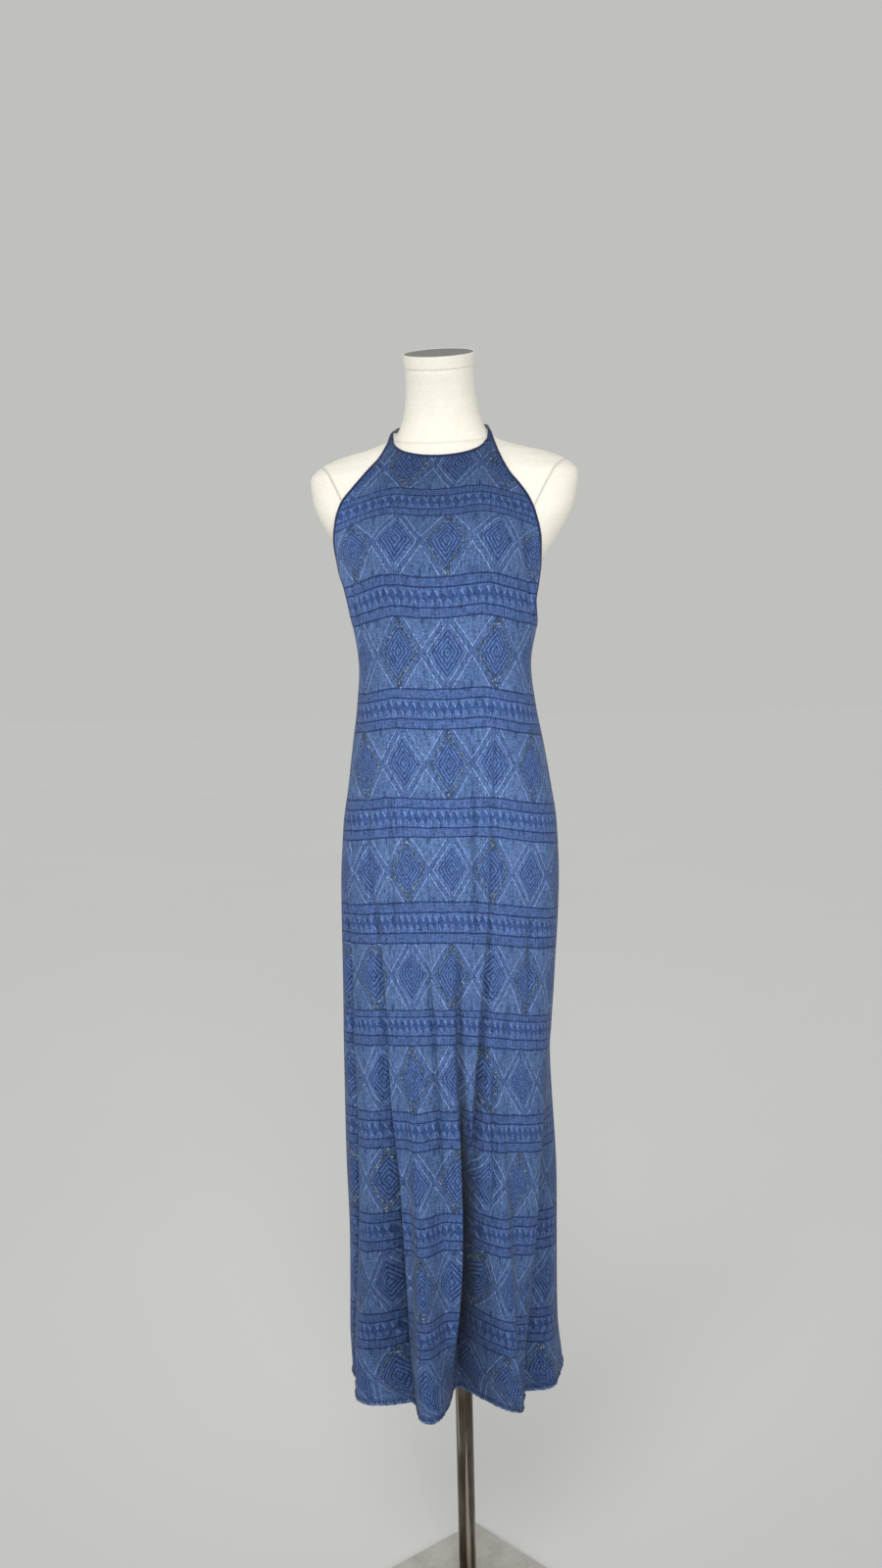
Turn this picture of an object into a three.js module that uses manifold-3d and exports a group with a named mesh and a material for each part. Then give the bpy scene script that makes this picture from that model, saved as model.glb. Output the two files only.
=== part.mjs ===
// A sleeveless halter maxi dress on a limbless dress form with a chrome pole and a square foot.
// Millimetres, +Z up, the front faces -Y. The origin is on the floor, in the middle of the foot.
import * as THREE from "three";
import { mergeVertices } from "three/addons/utils/BufferGeometryUtils.js";
import Module from "manifold-3d";

const wasm = await Module();
wasm.setup();

// ---- driving dimensions ----
const SEAM_GAP = 0.3;

const FOOT = { side: 283, thickness: 10, corner: 4, bevel: 1, turn: 46.2 };
const POLE_RADIUS = 12.5;
const SOCKET = { flangeRadius: 34, flangeThickness: 5, sleeveRadius: 17.5, sleeveLength: 40 };

const FORM_UNDERSIDE = 980;
const NECK_TOP = 1781.5;
const CAP = { radius: 49, height: 17, lip: 1.8, recess: 3, discThickness: 2.2, bevel: 1 };
// The arm plates: a slanting seam that starts so far out at this level, and a level underside.
const ARM_SEAM = { out: 163, level: 1630, slopeUp: 0.35, slopeBack: 0.31, underside: 1519 };

const CLOTH = 1.5;
const HEM_LEVEL = 357;
const SIDE_SEAM_TOP = 1430;
const BACK_DIP = 26;
// The neck edge: how far it dips between its corners, and how square that dip is (0.5 is a half circle).
const NECK_EDGE = { drop: 38, squareness: 0.325 };
// The binding tape, and how much of the first step along an armhole or the back edge it leaves free.
const TAPE = { width: 2.2, thickness: 2.4, gap: 0.6, armholeStart: 0.2, backStart: 0.4 };
// The strap runs from the corners of the front round the neck, and its ends lap behind it. It swings
// back and climbs faster at first than later, and turns its face to the neck over its first third.
const STRAP = { width: 6, napeBehind: 53, napeLevel: 1708, swing: 0.75, climb: 0.6, faceRun: 0.33 };
const LAP = { length: 0.16, step: 2.8, run: 0.35 };
const BUTTON = { radius: 5, thickness: 2.4 };

// The form, level by level: half width, depth in front of and behind its middle, squareness of the
// outline (2 is an ellipse) and how far its middle lies behind the pole's axis.
const FORM = [
  { z: 980, half: 112, front: 70, back: 84, square: 2.2, middle: 2 },
  { z: 992, half: 134, front: 86, back: 102, square: 2.2, middle: 2 },
  { z: 1072, half: 142, front: 95, back: 111, square: 2.2, middle: 0 },
  { z: 1155, half: 139, front: 95, back: 103, square: 2.2, middle: 0 },
  { z: 1265, half: 123, front: 91, back: 82, square: 2.2, middle: 0 },
  { z: 1375, half: 110, front: 84, back: 69, square: 2.2, middle: 0 },
  { z: 1430, half: 116, front: 88, back: 76, square: 2.2, middle: 0 },
  { z: 1480, half: 123, front: 98, back: 86, square: 2.2, middle: 0 },
  { z: 1517, half: 134, front: 102, back: 93, square: 2.2, middle: 0 },
  { z: 1545, half: 153, front: 99, back: 96, square: 2.3, middle: 0 },
  { z: 1600, half: 181, front: 83, back: 92, square: 2.5, middle: 2 },
  { z: 1636, half: 186, front: 69, back: 80, square: 2.4, middle: 3 },
  { z: 1652, half: 174, front: 62, back: 70, square: 1.95, middle: 2 },
  { z: 1665, half: 148, front: 58, back: 62, square: 1.6, middle: 1 },
  { z: 1677, half: 103, front: 55, back: 57, square: 1.5, middle: 0 },
  { z: 1686, half: 76, front: 53, back: 54, square: 1.75, middle: -1 },
  { z: 1702, half: 59, front: 50, back: 51, square: 2, middle: -4 },
  { z: 1727, half: 51, front: 48, back: 48, square: 2, middle: -11 },
  { z: 1760, half: 47.5, front: 45.5, back: 45.5, square: 2, middle: -22 },
  { z: 1781.5, half: 47.5, front: 45, back: 45, square: 2, middle: -29.5 },
];
const FORM_BUST = { apex: 66, width: 44, level: 1522, height: 46, out: 12 };
// How far each level tips forward: not at all at the shoulders, most at the cap.
const NECK_TIP = { from: 1700, to: NECK_TOP, angle: THREE.MathUtils.degToRad(19.6) };

// The dress below the arms, outer face: the same columns.
const SKIRT = [
  { z: 357, half: 144, front: 98, back: 104, square: 2.7 },
  { z: 430, half: 143.5, front: 98, back: 105, square: 2.6 },
  { z: 561, half: 145, front: 98, back: 106, square: 2.5 },
  { z: 680, half: 148, front: 99, back: 108, square: 2.4 },
  { z: 826, half: 146.5, front: 101, back: 112, square: 2.4 },
  { z: 932, half: 149.5, front: 103, back: 115, square: 2.3 },
  { z: 1072, half: 153.5, front: 104, back: 120, square: 2.2 },
  { z: 1155, half: 150, front: 103, back: 112, square: 2.2 },
  { z: 1210, half: 142, front: 101, back: 102, square: 2.2 },
  { z: 1265, half: 134, front: 99, back: 91, square: 2.2 },
  { z: 1320, half: 125, front: 95, back: 81, square: 2.2 },
  { z: 1375, half: 120, front: 91, back: 76, square: 2.2 },
  { z: 1430, half: 128, front: 94, back: 83, square: 2.2 },
  { z: 1485, half: 142, front: 104, back: 92, square: 2.2 },
  { z: 1517, half: 151, front: 108, back: 99, square: 2.2 },
];
// The bodice follows the form: it stands this far off, further at the sides, and over the shoulders
// a little higher too.
const BODICE = { ease: 6, sideEase: 16, blendFrom: 1480, blendTo: 1517 };
const SHOULDER_LIFT = { height: 3, from: 1620, to: 1650 };
// How far each level of the dress hangs to one side of the form.
const SHIFT = [
  { z: 357, shift: -8 },
  { z: 430, shift: -12 },
  { z: 600, shift: -10 },
  { z: 826, shift: -13 },
  { z: 932, shift: -9 },
  { z: 1072, shift: -4 },
  { z: 1210, shift: -1.5 },
  { z: 1375, shift: -4 },
  { z: 1430, shift: -2.5 },
  { z: 1490, shift: -4 },
  { z: 1614, shift: -3 },
  { z: 1650, shift: 0 },
];

// The armhole edge of the front from the side seam up to the strap: how far out it is on each side.
const ARMHOLE = [
  { z: 1430, left: 131, right: 126 },
  { z: 1459, left: 132.5, right: 125 },
  { z: 1485, left: 136.5, right: 129 },
  { z: 1511, left: 144.5, right: 132.5 },
  { z: 1540, left: 144.5, right: 133 },
  { z: 1570, left: 140, right: 127.5 },
  { z: 1595, left: 131.5, right: 118 },
  { z: 1614, left: 116.5, right: 105 },
  { z: 1629, left: 103.5, right: 93 },
  { z: 1643, left: 91, right: 85 },
  { z: 1656, left: 80, right: 79 },
  { z: 1670, left: 73, right: 73.5 },
  { z: 1682, left: 69, right: 69.5 },
  { z: 1692, left: 67.3, right: 67.3 },
];

// Where the side seams lie round the body, in degrees from the front: the left one swings forward.
const SIDE_SEAM = [
  { z: 357, left: -66, right: 93 },
  { z: 1072, left: -64, right: 93 },
  { z: 1210, left: -76, right: 92 },
  { z: 1340, left: -90, right: 90 },
  { z: 1430, left: -90, right: 90 },
];

// Folds that hang from the hips, ridges with a positive reach and troughs with a negative one.
// Degrees from the front at the hem and where the fold starts, half its spread in degrees at both, how
// far out it reaches at the hem, how far it leans sideways there, the level where it starts, how late
// it grows and how steep its sides are. A fold keeps its first spread until it nears the hem.
const WIDENING = 5;
const FOLD_KEYS = ["hem", "start", "hemSpread", "startSpread", "reach", "lean", "top", "growth", "steepness"];
const FOLDS = [
  { name: "left flank ridge", sizes: [-53, -47, 13.5, 12, 26, 0, 900, 1.2, 2] },
  { name: "left trough", sizes: [-31, -46, 8, 6, -4, 0, 1000, 1, 2] },
  { name: "left lobe", sizes: [-12.5, -20, 11, 8, 50, 5, 900, 1.1, 2.4] },
  { name: "deep trough", sizes: [17.5, 18, 19.8, 3.6, -55, -9, 770, 0.8, 4] },
  { name: "right lobe", sizes: [38.3, 34, 6.5, 7, 38, 2, 960, 1.3, 2.3] },
  { name: "right trough", sizes: [62, 90, 8.4, 9, -28, 0, 860, 0.9, 2] },
  { name: "right back ridge", sizes: [112, 108, 18, 18, 12, 0, 900, 1.3, 2] },
  { name: "back right trough", sizes: [142, 146, 16, 16, -16, 0, 960, 1.3, 2] },
  { name: "back right lobe", sizes: [166, 164, 13, 13, 16, 0, 880, 1.3, 2] },
  { name: "back middle trough", sizes: [190, 186, 14, 14, -20, 0, 1000, 1.3, 2] },
  { name: "back left lobe", sizes: [214, 212, 14, 14, 18, 0, 900, 1.3, 2] },
  { name: "back left trough", sizes: [242, 246, 15, 15, -14, 0, 940, 1.3, 2] },
  { name: "left back ridge", sizes: [268, 262, 14, 14, 10, 0, 900, 1.3, 2] },
].map(({ name, sizes }) => ({ name, ...Object.fromEntries(FOLD_KEYS.map((key, i) => [key, sizes[i]])) }));

const FINISHES = {
  denim: { color: 0x3f5f98, roughness: 0.9, metalness: 0 },
  navy: { color: 0x1f2f55, roughness: 0.85, metalness: 0 },
  linen: { color: 0xece6d6, roughness: 0.9, metalness: 0 },
  grey: { color: 0x7f807b, roughness: 0.6, metalness: 0 },
  chrome: { color: 0xcfd0d2, roughness: 0.12, metalness: 1 },
  stone: { color: 0xc4c2bc, roughness: 0.45, metalness: 0 },
};

// ---- reading the tables ----
const smooth = (t) => t * t * (3 - 2 * t);
const clamp = (t) => Math.min(1, Math.max(0, t));
const radians = THREE.MathUtils.degToRad;

// A column of a table at any level, as a curve that passes through each row without overshooting.
function column(table, key, z) {
  if (z <= table[0].z) return table[0][key];
  const last = table.length - 1;
  if (z >= table[last].z) return table[last][key];
  const i = table.findIndex((row, k) => z < table[k + 1].z);
  const slope = (k) => (table[k + 1][key] - table[k][key]) / (table[k + 1].z - table[k].z);
  const tangent = (k) => {
    if (k === 0 || k === last) return 0;
    const before = slope(k - 1);
    const after = slope(k);
    return before * after <= 0 ? 0 : (2 * before * after) / (before + after);
  };
  const gap = table[i + 1].z - table[i].z;
  const t = (z - table[i].z) / gap;
  const a = table[i][key];
  const b = table[i + 1][key];
  const easeIn = t * (1 - t) * (1 - t) * gap * tangent(i);
  const easeOut = t * t * (t - 1) * gap * tangent(i + 1);
  return a + (b - a) * smooth(t) + easeIn + easeOut;
}

// Distance from the middle of an outline to its edge, in a direction measured from the front.
function reachOf({ half, front, back, square }, angle) {
  const across = Math.abs(Math.sin(angle)) / half;
  const along = Math.abs(Math.cos(angle)) / (Math.cos(angle) > 0 ? front : back);
  return (across ** square + along ** square) ** (-1 / square);
}

function formLevel(z) {
  const level = {};
  for (const key of ["half", "front", "back", "square", "middle"]) level[key] = column(FORM, key, z);
  return level;
}

// Two soft rises in front, one on each side.
function bustRise(x, z) {
  const across = (Math.abs(x) - FORM_BUST.apex) / FORM_BUST.width;
  const along = (z - FORM_BUST.level) / FORM_BUST.height;
  return FORM_BUST.out * Math.exp(-across * across - along * along);
}

// A point of the form's skin, or of a skin that stands off it, more at the sides than elsewhere.
function formPoint(angle, z, ease = 0, sideEase = 0) {
  const level = formLevel(z);
  level.half += sideEase;
  level.front += ease;
  level.back += ease;
  const reach = reachOf(level, angle);
  const x = reach * Math.sin(angle);
  let y = level.middle - reach * Math.cos(angle);
  if (Math.cos(angle) > 0) y -= bustRise(x, z) * smooth(clamp(2 * Math.cos(angle)));
  const share = clamp((z - NECK_TIP.from) / (NECK_TIP.to - NECK_TIP.from));
  const tip = Math.tan(NECK_TIP.angle) * smooth(share);
  return new THREE.Vector3(x, y, z + tip * (y - level.middle));
}

// ---- solids from grids ----
function geometryOf(points, triangles) {
  const geometry = new THREE.BufferGeometry();
  const flat = points.flatMap((p) => [p.x, p.y, p.z]);
  geometry.setAttribute("position", new THREE.Float32BufferAttribute(flat, 3));
  geometry.setIndex(triangles);
  return geometry;
}

// Closed solid between an outer and an inner sheet, each a grid of rows of points. Rows run upwards
// and points run to the right as seen from outside.
function wallBetween(outer, inner) {
  const count = outer[0].length;
  const top = outer.length - 1;
  const end = count - 1;
  const points = [...outer.flat(), ...inner.flat()];
  const triangles = [];
  const out = (r, c) => r * count + c;
  const inn = (r, c) => points.length / 2 + out(r, c);
  const quad = (a, b, c, d) => triangles.push(a, b, c, a, c, d);
  for (let r = 0; r < top; r++) {
    for (let c = 0; c < end; c++) {
      quad(out(r, c), out(r, c + 1), out(r + 1, c + 1), out(r + 1, c));
      quad(inn(r, c), inn(r + 1, c), inn(r + 1, c + 1), inn(r, c + 1));
    }
    quad(out(r, 0), out(r + 1, 0), inn(r + 1, 0), inn(r, 0));
    quad(out(r, end), inn(r, end), inn(r + 1, end), out(r + 1, end));
  }
  for (let c = 0; c < end; c++) {
    quad(out(0, c), inn(0, c), inn(0, c + 1), out(0, c + 1));
    quad(out(top, c), out(top, c + 1), inn(top, c + 1), inn(top, c));
  }
  return geometryOf(points, triangles);
}

// Closed solid inside a stack of rings, with a flat face at each end.
function stackOf(rings) {
  const count = rings[0].length;
  const points = rings.flat();
  const triangles = [];
  for (let r = 0; r < rings.length - 1; r++) {
    for (let c = 0; c < count; c++) {
      const a = r * count + c;
      const b = r * count + ((c + 1) % count);
      triangles.push(a, b, b + count, a, b + count, a + count);
    }
  }
  const middle = (ring) => ring.reduce((sum, p) => sum.add(p), new THREE.Vector3()).divideScalar(count);
  const low = points.push(middle(rings[0])) - 1;
  const high = points.push(middle(rings[rings.length - 1])) - 1;
  const top = (rings.length - 1) * count;
  for (let c = 0; c < count; c++) {
    const next = (c + 1) % count;
    triangles.push(low, next, c, high, top + c, top + next);
  }
  return geometryOf(points, triangles);
}

// ---- the dress as one skin ----
// How far the folds move a point of the skirt outwards and sideways.
function foldsAt(angle, z) {
  const degrees = THREE.MathUtils.radToDeg(angle);
  let out = 0;
  let aside = 0;
  for (const fold of FOLDS) {
    const grown = clamp((fold.top - z) / (fold.top - HEM_LEVEL));
    const centre = fold.start + (fold.hem - fold.start) * grown;
    const spread = THREE.MathUtils.lerp(fold.startSpread, fold.hemSpread, grown ** WIDENING);
    const turn = Math.abs(((degrees - centre + 540) % 360) - 180) / spread;
    const share = Math.exp(-(turn ** fold.steepness)) * grown ** fold.growth;
    out += fold.reach * share;
    aside += fold.lean * share;
  }
  return { out, aside };
}

// A point of the dress's outer face, in a direction from the front and at a level.
function dressPoint(angle, z) {
  const level = {};
  for (const key of ["half", "front", "back", "square"]) level[key] = column(SKIRT, key, z);
  const shift = column(SHIFT, "shift", z);
  const { out, aside } = foldsAt(angle, z);
  const reach = reachOf(level, angle) + out;
  const x = shift + reach * Math.sin(angle) + aside * Math.cos(angle);
  let y = -reach * Math.cos(angle) + aside * Math.sin(angle);
  if (Math.cos(angle) > 0) y -= bustRise(x, z) * smooth(clamp(2 * Math.cos(angle)));
  const skirt = new THREE.Vector3(x, y, z);
  const upper = clamp((z - BODICE.blendFrom) / (BODICE.blendTo - BODICE.blendFrom));
  if (upper === 0) return skirt;
  const share = clamp((z - SHOULDER_LIFT.from) / (SHOULDER_LIFT.to - SHOULDER_LIFT.from));
  const lift = SHOULDER_LIFT.height * smooth(share);
  const bodice = formPoint(angle, z - lift, BODICE.ease, BODICE.sideEase);
  bodice.x += shift;
  bodice.z = z;
  return skirt.lerp(bodice, smooth(upper));
}

// The way out of the dress, square to its face.
function dressNormal(angle, z) {
  const turn = 0.02;
  const rise = 2;
  const across = dressPoint(angle + turn, z).sub(dressPoint(angle - turn, z));
  const up = dressPoint(angle, z + rise).sub(dressPoint(angle, z - rise));
  return across.cross(up).normalize();
}

// The direction in which the front reaches a given distance out, at a level, found by halving.
const HALVINGS = 30;
function angleAt(x, z) {
  let low = -Math.PI / 2;
  let high = Math.PI / 2;
  for (let step = 0; step < HALVINGS; step++) {
    const middle = (low + high) / 2;
    if (dressPoint(middle, z).x < x) low = middle;
    else high = middle;
  }
  return (low + high) / 2;
}

// Directions that divide an outline into even lengths between two directions.
const FINE_STEPS = 480;
function evenSteps(pointAt, from, to, count) {
  const angles = Array.from({ length: FINE_STEPS + 1 }, (_, i) => from + ((to - from) * i) / FINE_STEPS);
  const run = [0];
  for (let i = 1; i <= FINE_STEPS; i++) {
    run.push(run[i - 1] + pointAt(angles[i]).distanceTo(pointAt(angles[i - 1])));
  }
  return Array.from({ length: count + 1 }, (_, k) => {
    const want = (run[FINE_STEPS] * k) / count;
    const found = run.findIndex((length) => length >= want);
    const i = found < 0 ? FINE_STEPS : Math.max(1, found);
    const share = (want - run[i - 1]) / (run[i] - run[i - 1]);
    return THREE.MathUtils.lerp(angles[i - 1], angles[i], share);
  });
}

// ---- the front and the back, as grids of places on the skin ----
const FRONT_COLUMNS = 38;
const BACK_COLUMNS = 22;
const SKIRT_ROWS = 24;
// The bodice's rows are closer together at the underarm, and its columns near the armholes.
const BODICE_ROWS = 13;
const ROW_CROWDING = 1.2;
const COLUMN_CROWDING = 3.2;
const EDGE_TOP = ARMHOLE[ARMHOLE.length - 1].z;
const NARROWEST_SIDE = 120;
const SEAM_TURN = SEAM_GAP / 2 / NARROWEST_SIDE;
const seamAngle = (side, z) => radians(column(SIDE_SEAM, side, z));
const skirtLevels = Array.from(
  { length: SKIRT_ROWS + 1 },
  (_, i) => HEM_LEVEL + ((SIDE_SEAM_TOP - HEM_LEVEL) * i) / SKIRT_ROWS,
);

function frontPlaces() {
  const rows = skirtLevels.map((z) => {
    const from = seamAngle("left", z) + SEAM_TURN;
    const to = seamAngle("right", z) - SEAM_TURN;
    return evenSteps((angle) => dressPoint(angle, z), from, to, FRONT_COLUMNS).map((angle) => ({ angle, z }));
  });
  // Above the side seams each row runs from armhole to armhole, and dips more and more in the middle
  // until the last one is the neck edge.
  for (let r = 1; r <= BODICE_ROWS; r++) {
    const share = (r / BODICE_ROWS) ** ROW_CROWDING;
    const edge = SIDE_SEAM_TOP + (EDGE_TOP - SIDE_SEAM_TOP) * share;
    const reach = { left: column(ARMHOLE, "left", edge), right: column(ARMHOLE, "right", edge) };
    const row = [];
    for (let c = 0; c <= FRONT_COLUMNS; c++) {
      const even = (2 * c) / FRONT_COLUMNS - 1;
      const round = Math.sin((even * Math.PI) / 2);
      const place = round + (even - round) * COLUMN_CROWDING * share * (1 - share);
      const x = place * (place < 0 ? reach.left : reach.right);
      const dip = NECK_EDGE.drop * Math.max(0, 1 - place * place) ** NECK_EDGE.squareness;
      const z = edge - dip * share * share;
      row.push({ angle: angleAt(x, z), z });
    }
    rows.push(row);
  }
  return rows;
}

function backPlaces() {
  return skirtLevels.map((z, r) => {
    const from = seamAngle("right", z) + SEAM_TURN;
    const to = seamAngle("left", z) + 2 * Math.PI - SEAM_TURN;
    const high = smooth(clamp((2 * r) / SKIRT_ROWS - 1));
    return evenSteps((angle) => dressPoint(angle, z), from, to, BACK_COLUMNS).map((angle, c) => ({
      angle,
      z: z - BACK_DIP * high * Math.sin((Math.PI * c) / BACK_COLUMNS),
    }));
  });
}

// A place on the skin becomes a point and the way out there.
const stationAt = ({ angle, z }) => ({ point: dressPoint(angle, z), normal: dressNormal(angle, z) });
const offset = ({ point, normal }, distance) => point.clone().addScaledVector(normal, distance);

function sheetSolid(stations) {
  const face = (distance) => stations.map((row) => row.map((station) => offset(station, distance)));
  return wallBetween(face(0), face(-CLOTH));
}

// A flat tape along an edge, with the cloth on its right: it starts a seam's gap beyond the edge,
// carries the cloth's own surface on, and is thicker than the cloth that it encloses.
function tapeSolid(stations, widthAt = () => TAPE.width) {
  const last = stations.length - 1;
  const near = [];
  const far = [];
  stations.forEach(({ point, normal }, i) => {
    const along = stations[Math.min(last, i + 1)].point.clone().sub(stations[Math.max(0, i - 1)].point);
    const away = normal.clone().cross(along).normalize();
    const core = point.clone().addScaledVector(normal, -CLOTH / 2);
    near.push({ point: core.clone().addScaledVector(away, TAPE.gap), normal });
    far.push({ point: core.clone().addScaledVector(away, TAPE.gap + widthAt(i)), normal });
  });
  const face = (distance) => [near, far].map((row) => row.map((station) => offset(station, distance)));
  return wallBetween(face(TAPE.thickness / 2), face(-TAPE.thickness / 2));
}

function between(a, b, share) {
  const point = a.point.clone().lerp(b.point, share);
  const normal = a.normal.clone().lerp(b.normal, share).normalize();
  return { point, normal };
}

// One side of the neck strap, from the front's corner to its end behind the neck. The right one ends
// on top of the left one, so it steps outwards on the way.
const STRAP_STEPS = 11;
function strapStations(corner, onTop) {
  const side = Math.sign(corner.point.x);
  const stations = [];
  for (let i = 1; i <= STRAP_STEPS; i++) {
    const share = (i / STRAP_STEPS) * (1 + LAP.length);
    const turn = (share * Math.PI) / 2;
    const behind = Math.sin(turn);
    const out = new THREE.Vector3(side * Math.cos(turn), behind, 0).normalize();
    const step = onTop ? LAP.step * smooth(clamp((share - 1 + LAP.run) / LAP.run)) : 0;
    const point = new THREE.Vector3(
      corner.point.x * Math.cos(turn),
      THREE.MathUtils.lerp(corner.point.y, STRAP.napeBehind, behind ** STRAP.swing),
      THREE.MathUtils.lerp(corner.point.z, STRAP.napeLevel, behind ** STRAP.climb),
    );
    const normal = corner.normal.clone().lerp(out, smooth(clamp(share / STRAP.faceRun))).normalize();
    stations.push({ point: point.addScaledVector(out, step), normal });
  }
  return stations;
}

// ---- joining and cutting ----
function manifoldOf(geometry) {
  const bare = new THREE.BufferGeometry();
  bare.setAttribute("position", geometry.getAttribute("position"));
  bare.setIndex(geometry.getIndex());
  const merged = mergeVertices(bare, 1e-4);
  const vertProperties = new Float32Array(merged.getAttribute("position").array);
  const triVerts = new Uint32Array(merged.getIndex().array);
  return new wasm.Manifold(new wasm.Mesh({ numProp: 3, vertProperties, triVerts }));
}

function geometryFrom(solid) {
  const { vertProperties, triVerts } = solid.getMesh();
  const geometry = new THREE.BufferGeometry();
  geometry.setAttribute("position", new THREE.Float32BufferAttribute(vertProperties, 3));
  geometry.setIndex(Array.from(triVerts));
  return geometry;
}

// All that lies beyond the seam of one arm plate, moved outwards by the clearance.
function beyondArmSeam(side, clearance) {
  const size = 400;
  const out = new THREE.Vector3(side, -ARM_SEAM.slopeBack, -ARM_SEAM.slopeUp).normalize();
  const foot = new THREE.Vector3(side * ARM_SEAM.out, 0, ARM_SEAM.level);
  const box = new THREE.BoxGeometry(size, size, size);
  box.applyQuaternion(new THREE.Quaternion().setFromUnitVectors(new THREE.Vector3(0, 0, 1), out));
  const centre = foot.addScaledVector(out, size / 2 + clearance);
  box.translate(centre.x, centre.y, centre.z);
  const above = new THREE.BoxGeometry(2 * size, 2 * size, size);
  above.translate(0, 0, ARM_SEAM.underside + size / 2 + clearance);
  return manifoldOf(box).intersect(manifoldOf(above));
}

// ---- the pieces ----
const part = new THREE.Group();
function add(name, geometry, finish, parent = part) {
  const mesh = new THREE.Mesh(geometry, new THREE.MeshStandardMaterial(FINISHES[finish]));
  mesh.name = name;
  parent.add(mesh);
  return mesh;
}

// The form: foam under stretched linen, with an arm plate let in at each side.
const RING_POINTS = 36;
const FORM_LEVELS = [
  980, 984, 992, 1030, 1072, 1115, 1155, 1210, 1265, 1320, 1375, 1430, 1456, 1480, 1500, 1517, 1530, 1545,
  1570, 1600, 1620, 1636, 1645, 1652, 1658, 1664, 1670, 1676, 1681, 1686, 1694, 1702, 1714, 1727, 1743, 1760,
  NECK_TOP,
];
const formSolid = manifoldOf(
  stackOf(
    FORM_LEVELS.map((z) => {
      const pointAt = (angle) => formPoint(angle, z);
      return evenSteps(pointAt, -Math.PI, Math.PI, RING_POINTS).slice(0, -1).map(pointAt);
    }),
  ),
);
const armless = formSolid.subtract(beyondArmSeam(1, 0)).subtract(beyondArmSeam(-1, 0));
add("form_body", geometryFrom(armless), "linen");
add("arm_plate_left", geometryFrom(formSolid.intersect(beyondArmSeam(-1, SEAM_GAP))), "linen");
add("arm_plate_right", geometryFrom(formSolid.intersect(beyondArmSeam(1, SEAM_GAP))), "linen");

// The neck cap: a linen-covered band with a grey disc let into its top, tipped with the neck.
const cap = new THREE.Group();
cap.position.copy(new THREE.Vector3(0, column(FORM, "middle", NECK_TOP), NECK_TOP));
cap.rotation.x = NECK_TIP.angle;
cap.translateZ(SEAM_GAP);
part.add(cap);
const turned = (profile, segments) => {
  const points = profile.map(([radius, height]) => new THREE.Vector2(radius, height));
  return new THREE.LatheGeometry(points, segments).rotateX(Math.PI / 2);
};
const discRadius = CAP.radius - CAP.lip;
const capProfile = [
  [0, 0],
  [CAP.radius - CAP.bevel, 0],
  [CAP.radius, CAP.bevel],
  [CAP.radius, CAP.height - CAP.bevel],
  [CAP.radius - CAP.bevel, CAP.height],
  [discRadius, CAP.height],
  [discRadius, CAP.height - CAP.recess],
  [0, CAP.height - CAP.recess],
];
add("neck_cap_band", turned(capProfile, 48), "linen", cap);
const discProfile = [
  [0, 0],
  [discRadius - SEAM_GAP, 0],
  [discRadius - SEAM_GAP, CAP.discThickness],
  [0, CAP.discThickness],
];
add("neck_cap_disc", turned(discProfile, 48), "grey", cap).position.z = CAP.height - CAP.recess + SEAM_GAP;

// The stand: a socket under the form, the pole, and the square foot with a corner to the front.
const socketTop = FORM_UNDERSIDE - SEAM_GAP;
const flangeUnderside = socketTop - SOCKET.flangeThickness;
const sleeveEnd = flangeUnderside - SOCKET.sleeveLength;
const socketProfile = [
  [0, flangeUnderside],
  [POLE_RADIUS + SEAM_GAP, flangeUnderside],
  [POLE_RADIUS + SEAM_GAP, sleeveEnd],
  [SOCKET.sleeveRadius, sleeveEnd],
  [SOCKET.sleeveRadius, flangeUnderside],
  [SOCKET.flangeRadius, flangeUnderside],
  [SOCKET.flangeRadius, socketTop],
  [0, socketTop],
];
add("pole_socket", turned(socketProfile, 32), "chrome");

const poleFoot = FOOT.thickness + SEAM_GAP;
const poleLength = flangeUnderside - SEAM_GAP - poleFoot;
const pole = new THREE.CylinderGeometry(POLE_RADIUS, POLE_RADIUS, poleLength, 32).rotateX(Math.PI / 2);
add("pole", pole, "chrome").position.z = poleFoot + poleLength / 2;

const footEdge = FOOT.side / 2 - FOOT.bevel;
const footRound = footEdge - FOOT.corner;
const footOutline = new THREE.Shape();
footOutline.absarc(footRound, footRound, FOOT.corner, 0, Math.PI / 2);
footOutline.absarc(-footRound, footRound, FOOT.corner, Math.PI / 2, Math.PI);
footOutline.absarc(-footRound, -footRound, FOOT.corner, Math.PI, 1.5 * Math.PI);
footOutline.absarc(footRound, -footRound, FOOT.corner, 1.5 * Math.PI, 2 * Math.PI);
const foot = new THREE.ExtrudeGeometry(footOutline, {
  depth: FOOT.thickness - 2 * FOOT.bevel,
  bevelThickness: FOOT.bevel,
  bevelSize: FOOT.bevel,
  bevelSegments: 1,
  curveSegments: 4,
});
const footMesh = add("foot_plate", foot, "stone");
footMesh.position.z = FOOT.bevel;
footMesh.rotation.z = radians(FOOT.turn);

// The dress: two full-length panels, then the tapes that bind their edges.
const front = frontPlaces().map((row) => row.map(stationAt));
const back = backPlaces().map((row) => row.map(stationAt));
add("dress_front", sheetSolid(front), "denim");
add("dress_back", sheetSolid(back), "denim");

const armholeEdge = (c) => {
  const edge = front.slice(SKIRT_ROWS).map((row) => row[c]);
  return [between(edge[0], edge[1], TAPE.armholeStart), ...edge.slice(1)];
};
add("armhole_binding_left", tapeSolid(armholeEdge(0)), "navy");
add("armhole_binding_right", tapeSolid(armholeEdge(FRONT_COLUMNS).reverse()), "navy");

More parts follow.
